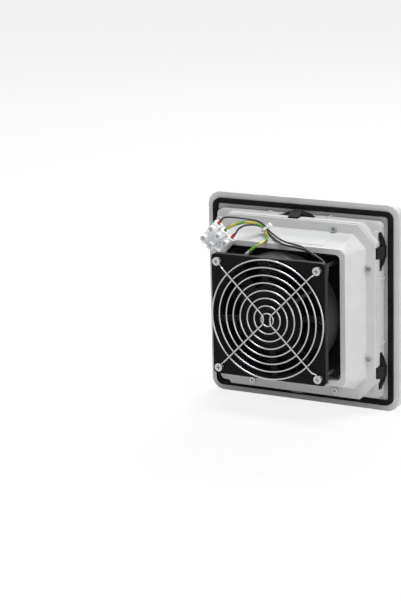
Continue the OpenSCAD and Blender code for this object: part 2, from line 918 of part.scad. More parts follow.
module at_grommet() {
    rotate([0, -grommet_turn, 0])
        translate([0, grommet_y, 0])
            children();
}

module lead_grommet() {
    color(tie_white)
        at_grommet()
            difference() {
                union() {
                    pin_x(grommet_r, fan_bore_r - grommet_in, duct_r + grommet_head_t);
                    pin_x(grommet_head_r, duct_r + ease, duct_r + grommet_head_t);
                }
                for (side = [-1, 1])
                    pin_x(black_r + turn_gap, fan_bore_r - half_share * grommet_in,
                          duct_r + grommet_head_t + over, [0, side * lead_spacing / 2]);
            }
}

// Inside the duct the two leads run to the motor in one sleeve
module motor_sleeve() {
    color(rubber_black)
        at_grommet()
            translate([fan_bore_r - grommet_in - sleeve_gap, 0, 0])
                rotate([0, 0, -sleeve_fall])
                    rotate([0, -90, 0])
                        cylinder(r = motor_sleeve_r, h = motor_sleeve_l);
}

module rotor_shaft() {
    color(steel)
        difference() {
            pin_y(shaft_r, shaft_front_y, shaft_rear_y);
            difference() {
                pin_y(shaft_r + over, shaft_rear_y - retainer_t - groove_gap,
                      shaft_rear_y - groove_gap);
                pin_y(shaft_r - groove_gap, shaft_rear_y - 2 * retainer_t - groove_gap,
                      shaft_rear_y);
            }
        }
}

module shaft_retainer() {
    y0 = shaft_rear_y - retainer_t - groove_gap;
    color(steel)
        difference() {
            pin_y(retainer_r, y0, y0 + retainer_t);
            pin_y(shaft_r - groove_gap, y0 - over, y0 + retainer_t + over);
            translate([-shaft_r * half_share, y0 - over, 0])
                cube([shaft_r, retainer_t + 2 * over, retainer_r + over]);
        }
}

module rotor_cup() {
    hub_l = cup_wall + 4;
    color(steel)
        difference() {
            pin_y(cup_r, cup_front_y, cup_front_y + cup_l);
            difference() {
                pin_y(cup_r - cup_wall, cup_front_y + cup_wall, cup_front_y + cup_l + over);
                pin_y(2 * shaft_r, cup_front_y, cup_front_y + hub_l);
            }
            pin_y(shaft_r, cup_front_y - over, cup_front_y + hub_l + over);
        }
}

module rotor_cage() {
    y0 = cup_front_y + cage_set;
    color([0.7, 0.71, 0.72])
        difference() {
            pin_y(cup_r - cup_wall, y0, y0 + cage_l);
            pin_y(cup_r - cup_wall - cage_t, y0 - over, y0 + cage_l + over);
        }
}

// One station of a blade: the outline of its section at a share of the span.
// The section runs from the front edge to the rear edge on one face and back on the other.
function blade_station(share) =
    let (r = blade_root_r + (blade_tip_r - blade_root_r) * share,
         l = blade_hub_l + (blade_tip_l - blade_hub_l) * share,
         sweep = blade_hub_sweep + (blade_tip_sweep - blade_hub_sweep) * share,
         t = blade_hub_t + (blade_tip_t - blade_hub_t) * share,
         full = sqrt(l * l + sweep * sweep))
    [for (face = [1, -1], j = [0 : blade_sides])
        let (c = (face > 0 ? j : blade_sides - j) / blade_sides,
             edge_share = 0.3,
             thick = face * t / 2 * (edge_share + (1 - edge_share) * sin(180 * c)),
             y = blade_front_y + l * c - thick * sweep / full,
             turn = (sweep * (c - half_share) + thick * l / full) / r * 180 / PI
                    + blade_bow * sin(180 * c) + blade_bow * share)
        [r * cos(turn), y, r * sin(turn)]];

module blade() {
    loop = 2 * (blade_sides + 1);
    points = [for (i = [0 : blade_steps]) each blade_station(i / blade_steps)];
    skin = [for (i = [0 : blade_steps - 1], k = [0 : loop - 1])
        let (k2 = (k + 1) % loop, p = i * loop, q = p + loop)
        each [[p + k, p + k2, q + k], [p + k2, q + k2, q + k]]];
    last = blade_steps * loop;
    caps = [for (k = [0 : blade_sides - 1])
        let (m = loop - 1 - k)
        each [[k, m, k + 1], [k + 1, m, m - 1],
              [last + k, last + k + 1, last + m], [last + k + 1, last + m - 1, last + m]]];
    polyhedron(points, concat(skin, caps));
}

module impeller() {
    color(fan_black)
        union() {
            difference() {
                pin_y(hub_r, impeller_front_y, impeller_front_y + impeller_l);
                pin_y(cup_r, cup_front_y, impeller_front_y + impeller_l + over);
                pin_y(2 * shaft_r, impeller_front_y - over, cup_front_y + over);
            }
            for (i = [0 : blade_count - 1])
                rotate([0, 360 * i / blade_count, 0])
                    blade();
        }
}

// Finger guard

function arc(centre, r, from_a, to_a, steps) =
    [for (i = [0 : steps]) let (a = from_a + (to_a - from_a) * i / steps)
        centre + r * [cos(a), sin(a)]];

// One bent wire carries the rings from an upper corner to the lower corner of a side.
// The list holds its upper half in X and Z, from the eye round the screw to the bend.
module guard_wire() {
    at = hole_at;
    eye = [for (p = arc([at, at], eye_r, eye_turn - eye_sweep, eye_turn, 10)) [p[0], eye_y, p[1]]];
    start = [at, at] + (eye_r + wire_r) * [cos(eye_turn), sin(eye_turn)]
            + wire_r * [sin(45), -cos(45)];
    kink = start - kink_l * [cos(45), sin(45)];
    inner = [arm_in + arm_bend, arm_bend];
    bend = arc([arm_in + arm_bend, 0], arm_bend, bend_from, bend_to, 3);
    half_wire = concat(eye,
        [[start[0], eye_y, start[1]],
         [(start[0] + kink[0]) / 2, (eye_y + guard_arm_y) / 2, (start[1] + kink[1]) / 2],
         [kink[0], guard_arm_y, kink[1]]],
        [for (p = bend) [p[0], guard_arm_y, p[1]]]);
    n = len(half_wire);
    back = [for (i = [n - 2 : -1 : 0]) [half_wire[i][0], half_wire[i][1], -half_wire[i][2]]];
    tube(concat(half_wire, back), wire_r, lead_sides);
}

module finger_guard() {
    color(zinc)
        union() {
            for (i = [0 : guard_rings - 1])
                translate([0, guard_ring_y, 0])
                    rotate([90, 0, 0])
                        rotate_extrude()
                            translate([guard_r - i * guard_step, 0])
                                circle(wire_r, $fn = hull_fn);
            for (turn = [0, 180])
                rotate([0, turn, 0])
                    guard_wire();
        }
}

module guard_screws() {
    color(zinc)
        on_corners(hole_at)
            difference() {
                union() {
                    pin_y(fan_screw_r, fan_screw_y, fan_head_y + ease);
                    pin_y(fan_head_r, fan_head_y, fan_head_y + fan_head_h);
                }
                cross_slot(cross_l, cross_w, fan_head_y + fan_head_h - cross_deep,
                           fan_head_y + fan_head_h + over);
            }
}

// Earth connection on the inner face of the fan's rear flange

module earth_terminal() {
    y1 = fan_rear_y - fan_flange_t;
    y0 = y1 - earth_ring_t;
    color(zinc)
        translate([earth_x, 0, earth_z])
            rotate([0, earth_turn, 0])
                difference() {
                    union() {
                        pin_y(earth_ring_r, y0, y1);
                        translate([-earth_ring_r * half_share, y0, 0])
                            cube([earth_ring_r, earth_ring_t, earth_tail_l]);
                        translate([0, y0 - earth_crimp_r + ease, earth_tail_l - earth_crimp_set])
                            cylinder(r = earth_crimp_r, h = earth_crimp_l);
                    }
                    pin_y(earth_screw_r + screw_gap, y0 - over, y1 + over);
                }
}

module earth_screw() {
    y1 = fan_rear_y - fan_flange_t;
    color(zinc) {
        pin_y(earth_screw_r, y1 - earth_ring_t - ease, y1 + fan_flange_t * half_share - ease,
              [earth_x, earth_z]);
        pin_y(earth_head_r, y1 - earth_ring_t - earth_head_h, y1 - earth_ring_t,
              [earth_x, earth_z]);
    }
}

// Terminal block. In its own frame X points to the mains side, Y away from the wall,
// and Z away from the fan. The frame's origin lies on the bracket's pad.

module at_terminal() {
    translate([block_x, bracket_top_y, block_z])
        rotate([0, block_turn, 0])
            children();
}

module on_poles() {
    for (i = [-1 : 1])
        translate([0, 0, i * pole_pitch])
            children();
}

// The bracket stands on the adapter's plate and carries the block over the pocket's rim
module terminal_bracket() {
    z0 = bracket_z - bracket_w / 2;
    color(steel)
        difference() {
            union() {
                translate([bracket_riser_x, plate_rear_y, z0])
                    cube([bracket_foot_w, bracket_t, bracket_w]);
                translate([bracket_riser_x, plate_rear_y, z0])
                    cube([bracket_t, bracket_top_y - plate_rear_y, bracket_w]);
                translate([bracket_pad_x, bracket_top_y - bracket_t, z0])
                    cube([bracket_riser_x + bracket_t - bracket_pad_x, bracket_t,
                          bracket_w + bracket_pad_up]);
            }
            pin_y(bracket_screw_r + screw_gap, plate_rear_y - over,
                  plate_rear_y + bracket_t + over, [bracket_screw_x, bracket_z]);
            at_terminal()
                pin_y(block_screw_r + turn_gap, -bracket_t - over, over, [0, -pole_pitch / 2]);
        }
}

module bracket_screw() {
    top_y = plate_rear_y + bracket_t;
    color(zinc) {
        pin_y(bracket_screw_r, plate_front_y + ease, top_y + ease, [bracket_screw_x, bracket_z]);
        pin_y(bracket_head_r, top_y, top_y + clamp_head_h, [bracket_screw_x, bracket_z]);
    }
}

module terminal_pole() {
    difference() {
        union() {
            pin_x(pole_r, -block_l / 2, block_l / 2, [pole_y, 0]);
            translate([-block_l / 2, 0, -pole_r + ease])
                cube([block_l, pole_y, 2 * (pole_r - ease)]);
            for (side = [-1, 1])
                pin_y(tower_r, pole_y, block_h, [side * tower_at, 0]);
        }
        pin_x(entry_r, 0, block_l / 2 + over, [pole_y, 0]);
        pin_x(lead_entry_r, -block_l / 2 - over, 0, [pole_y, 0]);
        pin_x(clamp_r + clamp_gap, -block_l / 2 + block_wall, block_l / 2 - block_wall,
              [pole_y, 0]);
        for (side = [-1, 1])
            pin_y(well_r, well_y, block_h + over, [side * tower_at, 0]);
    }
}

module terminal_block() {
    color(clear_white)
        at_terminal()
            difference() {
                union() {
                    on_poles() terminal_pole();
                    translate([-web_l / 2, 0, -pole_pitch])
                        cube([web_l, web_y, 2 * pole_pitch]);
                }
                pin_y(block_screw_r + screw_gap, -over, web_y + over, [0, -pole_pitch / 2]);
                pin_y(block_head_r + ease, web_y, block_h + over, [0, -pole_pitch / 2]);
                on_poles()
                    pin_x(clamp_r + clamp_gap, -block_l / 2 + block_wall,
                          block_l / 2 - block_wall, [pole_y, 0]);
            }
}

module block_screw() {
    color(zinc)
        at_terminal() {
            pin_y(block_screw_r, -bracket_t - ease, web_y + ease, [0, -pole_pitch / 2]);
            pin_y(block_head_r, web_y, web_y + block_head_h, [0, -pole_pitch / 2]);
        }
}

module terminal_clamps() {
    color(brass)
        at_terminal()
            on_poles()
                difference() {
                    pin_x(clamp_r, -block_l / 2 + block_wall + ease,
                          block_l / 2 - block_wall - ease, [pole_y, 0]);
                    pin_x(clamp_bore_r, -block_l / 2, block_l / 2, [pole_y, 0]);
                    for (side = [-1, 1])
                        pin_y(clamp_screw_r + turn_gap, pole_y, pole_y + 2 * clamp_r,
                              [side * tower_at, 0]);
                }
}

// The screws on the fan side hold the ferrules, and those on the mains side stand open
module terminal_screws() {
    color(zinc)
        at_terminal()
            on_poles()
                for (side = [-1, 1]) {
                    tip_y = pole_y + (side < 0 ? pin_r : clamp_bore_r);
                    top_y = tip_y + clamp_r + clamp_open;
                    translate([side * tower_at, 0, 0])
                        difference() {
                            union() {
                                pin_y(clamp_screw_r, tip_y, top_y);
                                pin_y(clamp_head_r, top_y - ease, top_y + clamp_head_h);
                            }
                            translate([-clamp_head_r, top_y + clamp_head_h - slot_deep,
                                       -slot_w / 2])
                                cube([2 * clamp_head_r, slot_deep + over, slot_w]);
                        }
                }
}

module ferrules() {
    color(ferrule_red)
        at_terminal()
            for (side = [-1, 1])
                translate([-block_l / 2 + sleeve_sink - sleeve_l, pole_y, side * pole_pitch])
                    rotate([0, 90, 0])
                        cylinder(r1 = sleeve_r, r2 = sleeve_nose_r, h = sleeve_l);
}

module ferrule_pins() {
    color(zinc)
        at_terminal()
            for (i = [-1 : 1]) {
                start = -block_l / 2 + (i == 0 ? bare_sink : sleeve_sink);
                pin_x(pin_r, start, start + pin_l, [pole_y, i * pole_pitch]);
            }
}

// Leads and their tie

module lead_black_outer() {
    color(rubber_black)
        tube(black_outer_route, black_r, lead_sides);
}

module lead_black_inner() {
    color(rubber_black)
        tube(black_inner_route, black_r, lead_sides);
}

module lead_earth() {
    color(earth_green)
        tube(earth_route, earth_r, lead_sides);
}

module cable_tie() {
    color(tie_white)
        translate(tie_at)
            rotate([0, tie_turn, 0])
                difference() {
                    union() {
                        cylinder(r = tie_r + tie_t, h = tie_w, center = true);
                        translate([-tie_r - tie_head + tie_t * half_share, -tie_head / 2,
                                   -tie_head / 2])
                            cube([tie_head, tie_head, tie_head]);
                    }
                    cylinder(r = tie_r, h = tie_head + 2 * over, center = true);
                }
}

// Cover

// Section of the cover's rim: its own X is the distance from the corner's centre
module rim_section() {
    r = flange_corner_r;
    h = cover_depth;
    difference() {
        union() {
            square([r - cover_round, h]);
            translate([0, cover_round])
                square([r, h - cover_round]);
            translate([r - cover_round, cover_round])
                circle(cover_round);
        }
        translate([-over, cover_wall_t])
            square([r - cover_wall_t + over, h]);
    }
}

// The section stands with its height along +Y, from the front of the cover
module cover_rim() {
    straight = cover_half - flange_corner_r;
    for (turn = [0, 90, 180, 270])
        rotate([0, turn, 0]) {
            translate([straight, cover_front_y, straight])
                rotate([-90, 0, 0])
                    rotate_extrude(angle = -90)
                        rim_section();
            translate([straight, cover_front_y, -straight])
                linear_extrude(2 * straight)
                    rim_section();
        }
}

module louvre_blade(l) {
    rotate([90, 0, 90])
        linear_extrude(l)
            polygon([[cover_front_y, 0], [cover_front_y, louvre_lip],
                     [louvre_rear_y, louvre_lip + louvre_rise], [louvre_rear_y, louvre_rise]]);
}

// The blades of one half fall away from the middle. The last ones are cut by the window.
module louvre_half() {
    n = ceil(window_w / louvre_pitch / 2) + 2;
    set = -louvre_lip;
    intersection() {
        translate([0, cover_front_y, -window_half - wall_t * half_share])
            cube([window_half + wall_t * half_share, louvre_depth, window_w + wall_t]);
        rotate([0, louvre_fall, 0])
            for (i = [-n : n])
                translate([-window_half * tan(louvre_fall), 0,
                           i * louvre_pitch * cos(louvre_fall) + set])
                    louvre_blade(window_half / cos(louvre_fall) + 2 * wall_t
                                 + window_half * tan(louvre_fall));
    }
}

module cover_front() {
    straight = cover_half - flange_corner_r;
    along_y(cover_front_y, cover_front_y + cover_wall_t)
        difference() {
            square([2 * straight, 2 * straight], center = true);
            square([window_w, window_w], center = true);
        }
    along_y(cover_front_y, window_collar_y)
        difference() {
            square([window_w + 2 * collar_t, window_w + 2 * collar_t], center = true);
            square([window_w, window_w], center = true);
        }
    for (i = [-1 : 1])
        translate([i * column_rib_at - column_rib_w / 2, cover_front_y + column_rib_set,
                   -window_half - wall_t * half_share])
            cube([column_rib_w, louvre_rear_y - cover_front_y - column_rib_set,
                  window_w + wall_t]);
}

module cover_latches() {
    for (side = [-1, 1])
        translate([side * latch_at - latch_w / 2, cover_rear_y - 2 * latch_l,
                   cover_half - cover_wall_t + latch_sink - latch_t])
            cube([latch_w, 3 * latch_l + seam, latch_t]);
}

module cover_grille() {
    straight = cover_half - flange_corner_r;
    color(abs_grey)
        difference() {
            union() {
                cover_rim();
                cover_front();
                louvre_half();
                mirror([1, 0, 0]) louvre_half();
                cover_latches();
                pin_x(hinge_r, -straight, straight, [hinge_y, hinge_z]);
            }
            difference() {
                translate([-cover_half - over, hinge_y, -cover_half - over])
                    cube([2 * cover_half + 2 * over, hinge_r + over, hinge_r + over]);
                pin_x(hinge_r, -cover_half - 2 * over, cover_half + 2 * over,
                      [hinge_y, hinge_z]);
            }
            for (side = [-1, 1]) {
                pin_x(hinge_r + lug_room, side * lug_at - lug_w / 2 - lug_gap,
                      side * lug_at + lug_w / 2 + lug_gap, [hinge_y, hinge_z]);
                pin_x(hinge_pin_r, side * lug_at - hinge_pin_l / 2,
                      side * lug_at + hinge_pin_l / 2, [hinge_y, hinge_z]);
            }
        }
}

module cover_badge() {
    color([0.97, 0.97, 0.97])
        translate([badge_x, 0, -window_half - badge_gap - badge_h / 2])
            along_y(cover_front_y - badge_t, cover_front_y) {
                square([badge_w - 2 * badge_r, badge_h], center = true);
                square([badge_w, badge_h - 2 * badge_r], center = true);
                for (sx = [-1, 1], sz = [-1, 1])
                    translate([sx * (badge_w / 2 - badge_r), sz * (badge_h / 2 - badge_r)])
                        circle(badge_r);
            }
}

module hinge_pins() {
    color(steel)
        for (side = [-1, 1])
            pin_x(hinge_pin_r, side * lug_at - hinge_pin_l / 2, side * lug_at + hinge_pin_l / 2,
                  [hinge_y, hinge_z]);
}

// Spring clips

module clip() {
    chord = clip_w / 2;
    rise = clip_out + clip_sink;
    bow_r = (chord * chord + rise * rise) / (2 * rise);
    color(clip_black) {
        along_y(clip_y, clip_y + clip_deep)
            intersection() {
                translate([clip_out - bow_r, 0])
                    difference() {
                        circle(bow_r, $fn = 2 * $fn);
                        circle(bow_r - clip_t, $fn = 2 * $fn);
                    }
                translate([-clip_sink, -chord])
                    square([2 * rise, clip_w]);
            }
        translate([0, 0, -clip_block_w / 2])
            linear_extrude(clip_block_w)
                polygon([[-clip_block_sink, clip_lock_y], [clip_out, clip_lock_y],
                         [clip_out, clip_crest_y], [clip_tail_out, clip_tail_y],
                         [-clip_block_sink, clip_tail_y]]);
    }
}

module clip_top() {
    on_side(-90, 0) clip();
}

module clip_bottom() {
    on_side(90, 0) clip();
}

module clip_right_upper() {
    on_side(0, clip_side_z) clip();
}

module clip_right_lower() {
    on_side(0, -clip_side_z) clip();
}

module clip_left_upper() {
    on_side(180, -clip_side_z) clip();
}

module clip_left_lower() {
    on_side(180, clip_side_z) clip();
}

base_frame();
panel_gasket();
filter_mat();
fan_adapter();
adapter_screws();
rating_label();
fan_frame();
stator_core();
stator_windings();
front_bearing();
rear_bearing();
preload_spring();
motor_cap();
lead_grommet();
motor_sleeve();
finger_guard();
guard_screws();
earth_terminal();
earth_screw();
terminal_bracket();
bracket_screw();
terminal_block();
block_screw();
terminal_clamps();
terminal_screws();
ferrules();
ferrule_pins();
lead_black_outer();
lead_black_inner();
lead_earth();
cable_tie();
rotor_shaft();
rotor_cup();
rotor_cage();
impeller();
shaft_retainer();
cover_grille();
cover_badge();
hinge_pins();
clip_top();
clip_bottom();
clip_right_upper();
clip_right_lower();
clip_left_upper();
clip_left_lower();
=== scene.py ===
"""Looks of a filter fan for a cabinet wall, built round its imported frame.

Lengths are in metres, apart from those that Wiring and Lead give in millimetres. They
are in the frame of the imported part: X to the right seen from outside, Y from the wall
into the cabinet, Z up.
"""

import logging
import math
from dataclasses import dataclass, field
from enum import Enum
from typing import Any, Sequence

import bmesh
import bpy
import numpy as np
from mathutils import Matrix, Vector


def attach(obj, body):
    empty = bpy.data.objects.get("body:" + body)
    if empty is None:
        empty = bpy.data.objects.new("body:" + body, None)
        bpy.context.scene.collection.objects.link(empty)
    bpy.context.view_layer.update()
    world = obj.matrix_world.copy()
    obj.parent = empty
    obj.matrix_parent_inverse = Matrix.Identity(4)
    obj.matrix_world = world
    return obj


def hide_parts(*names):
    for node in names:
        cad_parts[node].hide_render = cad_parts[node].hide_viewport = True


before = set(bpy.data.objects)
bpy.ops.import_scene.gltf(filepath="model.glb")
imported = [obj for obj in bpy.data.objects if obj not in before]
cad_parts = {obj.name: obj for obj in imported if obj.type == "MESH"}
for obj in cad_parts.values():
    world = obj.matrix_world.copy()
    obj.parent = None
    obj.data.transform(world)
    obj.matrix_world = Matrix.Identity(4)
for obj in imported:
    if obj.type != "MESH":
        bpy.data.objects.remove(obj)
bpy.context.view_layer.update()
MM = 0.001
TURN = 2 * math.pi
HOUSING = "housing"
LEAD_MAP = "lead"
WHITE = (1.0, 1.0, 1.0)
log = logging.getLogger("filter_fan")

Colour = tuple[float, float, float]
Point = tuple[float, float, float]
Surface = tuple[np.ndarray, np.ndarray]


class Wire:
    """A shader value that can stand in Python expressions."""

    def __init__(self, board: "Board", socket: bpy.types.NodeSocket) -> None:
        """Wraps a socket of a board.

        Args:
            board: The node tree that the socket belongs to.
            socket: The output socket that carries the value.
        """
        self.board = board
        self.socket = socket

    def _with(self, operation: str, *values: Any) -> "Wire":
        """Adds one Math node.

        Args:
            operation: The node's operation.
            values: Its inputs in order, wires or numbers.

        Returns:
            The node's result.
        """
        return self.board.maths(operation, *values)

    def __add__(self, other: Any) -> "Wire":
        """Sum of this value and another."""
        return self._with("ADD", self, other)

    def __radd__(self, other: Any) -> "Wire":
        """Sum of another value and this one."""
        return self._with("ADD", other, self)

    def __sub__(self, other: Any) -> "Wire":
        """This value less another."""
        return self._with("SUBTRACT", self, other)

    def __rsub__(self, other: Any) -> "Wire":
        """Another value less this one."""
        return self._with("SUBTRACT", other, self)

    def __mul__(self, other: Any) -> "Wire":
        """Product of this value and another."""
        return self._with("MULTIPLY", self, other)

    def __rmul__(self, other: Any) -> "Wire":
        """Product of another value and this one."""
        return self._with("MULTIPLY", other, self)

    def __pow__(self, other: Any) -> "Wire":
        """This value to a power."""
        return self._with("POWER", self, other)

    def sine(self) -> "Wire":
        """Sine of this value, in radians."""
        return self._with("SINE", self)

    def clamped(self) -> "Wire":
        """This value held between 0 and 1."""
        return self.board.node("ShaderNodeClamp", {}, {0: self})

    def step(self, low: float, high: float) -> "Wire":
        """A soft step from 0 at one value to 1 at another.

        Args:
            low: Where the step starts.
            high: Where it ends.

        Returns:
            The step, between 0 and 1.
        """
        return self.board.node(
            "ShaderNodeMapRange",
            {"interpolation_type": "SMOOTHSTEP"},
            {"Value": self, "From Min": low, "From Max": high},
        )


class Board:
    """The node tree of a material or of the world, with short calls for its nodes."""

    def __init__(self, tree: bpy.types.NodeTree, output: str) -> None:
        """Empties a tree and gives it its output.

        Args:
            tree: The node tree.
            output: The type of its output node.
        """
        self.tree = tree
        tree.nodes.clear()
        self.out = tree.nodes.new(output)

    def show(self, shader: Wire) -> None:
        """Links a shader to the output."""
        self.set(self.out.inputs[0], shader)

    def node(
        self,
        kind: str,
        settings: dict[str, Any],
        inputs: dict[Any, Any],
        output: Any = 0,
    ) -> Wire:
        """Adds a node.

        Args:
            kind: The node's type.
            settings: Its settings, such as a Math node's operation, which are set first.
            inputs: Values or wires for its input sockets, by name or number.
            output: The name or number of the output that is wanted.

        Returns:
            The chosen output.
        """
        made = self.tree.nodes.new(kind)
        for key, value in settings.items():
            setattr(made, key, value)
        for key, value in inputs.items():
            self.set(made.inputs[key], value)
        return Wire(self, made.outputs[output])

    def set(self, socket: bpy.types.NodeSocket, value: Any) -> None:
        """Gives a socket a wire or a plain value.

        Args:
            socket: The input socket.
            value: A wire, a number, a vector or a colour.
        """
        if isinstance(value, Wire):
            self.tree.links.new(value.socket, socket)
        elif socket.type == "RGBA" and len(value) == 3:
            socket.default_value = (*value, 1)
        else:
            socket.default_value = value

    def maths(self, operation: str, *values: Any) -> Wire:
        """Adds a Math node.

        Args:
            operation: The node's operation.
            values: Its inputs in order.

        Returns:
            The result.
        """
        return self.node(
            "ShaderNodeMath", {"operation": operation}, dict(enumerate(values))
        )

    def vectors(self, operation: str, *values: Any, output: Any = 0) -> Wire:
        """Adds a Vector Math node.

        Args:
            operation: The node's operation.
            values: Its inputs in order.
            output: The output that is wanted, such as Value for a dot product.

        Returns:
            The result.
        """
        return self.node(
            "ShaderNodeVectorMath",
            {"operation": operation},
            dict(enumerate(values)),
            output,
        )

    def blend(self, share: Any, first: Any, second: Any) -> Wire:
        """Mixes two colours.

        Args:
            share: 0 for the first colour, 1 for the second.
            first: A colour or a wire.
            second: A colour or a wire.

        Returns:
            The mixed colour.
        """
        return self.node(
            "ShaderNodeMix", {"data_type": "RGBA"}, {0: share, 6: first, 7: second}, 2
        )

    def place(self, turn: Point = (0, 0, 0), size: Point = (1, 1, 1)) -> Wire:
        """Object coordinates, turned and stretched.

        Args:
            turn: Turn about the three axes, in radians.
            size: Stretch along the three axes.

        Returns:
            The coordinates.
        """
        spot = self.node("ShaderNodeTexCoord", {}, {}, "Object")
        return self.node(
            "ShaderNodeMapping", {}, {"Vector": spot, "Rotation": turn, "Scale": size}
        )

    def noise(self, spot: Wire, scale: float, detail: float = 3, rough: float = 0.5) -> Wire:
        """Smooth noise between 0 and 1.

        Args:
            spot: Coordinates.
            scale: Waves per metre.
            detail: Number of finer layers.
            rough: Weight of the finer layers.

        Returns:
            The noise.
        """
        return self.node(
            "ShaderNodeTexNoise",
            {},
            {"Vector": spot, "Scale": scale, "Detail": detail, "Roughness": rough},
        )

    def rounded(self, radius: float) -> tuple[Wire, Wire]:
        """The surface's normal with softened edges, and a mask of those edges.

        Args:
            radius: Radius of the softening.

        Returns:
            The normal, and a mask that is 1 on the edges.
        """
        soft = self.node("ShaderNodeBevel", {"samples": 6}, {"Radius": radius})
        hard = self.node("ShaderNodeNewGeometry", {}, {}, "Normal")
        cosine = self.vectors("DOT_PRODUCT", soft, hard, output="Value")
        flat, sharp = 0.01, 0.18
        return soft, (1 - cosine).step(flat, sharp)

    def bump(self, height: Wire, depth: float, normal: Wire | None = None) -> Wire:
        """Turns a height into a normal.

        Args:
            height: Height between 0 and 1.
            depth: Height in metres that 1 stands for.
            normal: The normal that the bump is added to.

        Returns:
            The normal.
        """
        inputs: dict[Any, Any] = {"Height": height, "Distance": depth, "Strength": 1.0}
        if normal is not None:
            inputs["Normal"] = normal
        return self.node("ShaderNodeBump", {}, inputs)

    def direct_rays(self) -> Wire:
        """Tells what the camera, gloss and clear walls see from what lights the part.

        Returns:
            1 for camera, glossy and transmission rays, and else 0.
        """
        kinds = ("Is Camera Ray", "Is Glossy Ray", "Is Transmission Ray")
        camera, glossy, passing = (
            self.node("ShaderNodeLightPath", {}, {}, kind) for kind in kinds
        )
        return self.maths("MAXIMUM", self.maths("MAXIMUM", camera, glossy), passing)


class Paint(Board):
    """The board of a material with one Principled shader."""

    def __init__(self, name: str) -> None:
        """Starts the material.

        Args:
            name: The material's name.
        """
        self.material = bpy.data.materials.new(name)
        self.material.use_nodes = True
        super().__init__(self.material.node_tree, "ShaderNodeOutputMaterial")
        self.shader = self.tree.nodes.new("ShaderNodeBsdfPrincipled")
        self.body = Wire(self, self.shader.outputs[0])
        self.show(self.body)

    def wear(self, **sockets: Any) -> bpy.types.Material:
        """Sets sockets of the Principled shader.

        Args:
            sockets: Values by socket name, with _ for a space.

        Returns:
            The finished material.
        """
        for key, value in sockets.items():
            self.set(self.shader.inputs[key.replace("_", " ")], value)
        return self.material


def scaled(colour: Colour, factor: float, added: float = 0.0) -> Colour:
    """A colour times a factor, plus the same amount in every channel."""
    return tuple(c * factor + added for c in colour)


def tinted(colour: Colour, tint: Colour) -> Colour:
    """A colour times a tint, channel by channel."""
    return tuple(c * t for c, t in zip(colour, tint))


@dataclass(frozen=True)
class Finish:
    """A plain finish: a base colour with mottling, a grain, and worn edges.

    Sizes, depths and the edges' radius are in metres. Shares and swings are parts
    of 1.
    """

    name: str
    colour: Colour
    roughness: float
    metallic: float = 0.0
    mottle: float = 0.025
    mottle_size: float = 0.02
    grain_size: float = 0.0006
    grain_depth: float = 0.00001
    rough_swing: float = 0.08
    edge: float = 0.0003
    edge_light: float = 0.15
    grain_stretch: Point = (1, 1, 1)
    gloss: float = 0.5
    edge_share: float = 0.7
    edge_polish: float = 0.08
    grain_swing: float = 0.06

    def cover(self, board: Board, colour: Any) -> Any:
        """Lays something over the base colour. A plain finish lays nothing.

        Args:
            board: The material's board.
            colour: The colour so far.

        Returns:
            The colour with the layer on it.
        """
        return colour

    def extras(self) -> dict[str, Any]:
        """Plain shader settings that a finish adds."""
        return {"Specular_IOR_Level": self.gloss}

    def make(self) -> bpy.types.Material:
        """Builds the material.

        Returns:
            The material.
        """
        board = Paint(self.name)
        spot = board.place()
        soft, edges = board.rounded(self.edge)
        patches = board.noise(spot, 1 / self.mottle_size, 4)
        dark = scaled(self.colour, 1 - self.mottle)
        light = tuple(min(1.0, c) for c in scaled(self.colour, 1 + self.mottle))
        base = board.blend(patches.step(0.3, 0.7), dark, light)
        worn = tuple(c + (1 - c) * self.edge_light for c in self.colour)
        base = board.blend(edges * self.edge_share, base, worn)
        base = self.cover(board, base)
        fine = board.noise(board.place(size=self.grain_stretch), 1 / self.grain_size, 2)
        rough = self.roughness + (patches - 0.5) * self.rough_swing
        rough = rough + (fine - 0.5) * self.grain_swing
        return board.wear(
            Base_Color=base,
            Roughness=(rough - edges * self.edge_polish).clamped(),
            Metallic=self.metallic,
            Normal=board.bump(fine, self.grain_depth, soft),
            **self.extras(),
        )


@dataclass(frozen=True)
class Moulding(Finish):
    """Light moulded plastic with faint flow lines."""

    streak_tint: Colour = (0.93, 0.94, 0.92)
    streak_share: float = 0.35
    streak_stretch: Point = (8, 30, 8)
    streak_scale: float = 6

    def cover(self, board: Board, colour: Any) -> Any:
        """Adds faint flow streaks along the wall.

        Args:
            board: The material's board.
            colour: The colour so far.

        Returns:
            The streaked colour.
        """
        spot = board.place(size=self.streak_stretch)
        streaks = board.noise(spot, self.streak_scale, 5, 0.6).step(0.45, 0.75)
        streaked = tinted(self.colour, self.streak_tint)
        return board.blend(streaks * self.streak_share, colour, streaked)


@dataclass(frozen=True)
class CoatedCasting(Finish):
    """Black painted casting: specks of grey dust, and a grey painted reflection on slanting
    walls.
    """

    speck: Colour = (0.06, 0.06, 0.06)
    speck_scale: float = 900
    speck_share: float = 0.2
    # painted reflection: a grey laid into the colour of walls seen at a slant
    painted_sheen: Colour = (0.075, 0.075, 0.08)
    painted_sheen_share: float = 0.8

    def cover(self, board: Board, colour: Any) -> Any:
        """Adds a thin veil of dust, and a painted reflection that greys walls seen at a slant.

        Args:
            board: The material's board.
            colour: The colour so far.

        Returns:
            The dusty colour, greyed by the painted reflection at a slant.
        """
        specks = board.noise(board.place(), self.speck_scale, 4, 0.7).step(0.62, 0.8)
        dusty = board.blend(specks * self.speck_share, colour, self.speck)
        slant = board.node("ShaderNodeLayerWeight", {}, {"Blend": 0.5}, "Facing")
        # painted reflection, stronger where the wall is seen at a slant
        return board.blend((slant**2) * self.painted_sheen_share, dusty, self.painted_sheen)

    def extras(self) -> dict[str, Any]:
        """A dull paint that mirrors little, under a trace of gloss."""
        return {**super().extras(), "Coat_Weight": 0.04, "Coat_Roughness": 0.3}


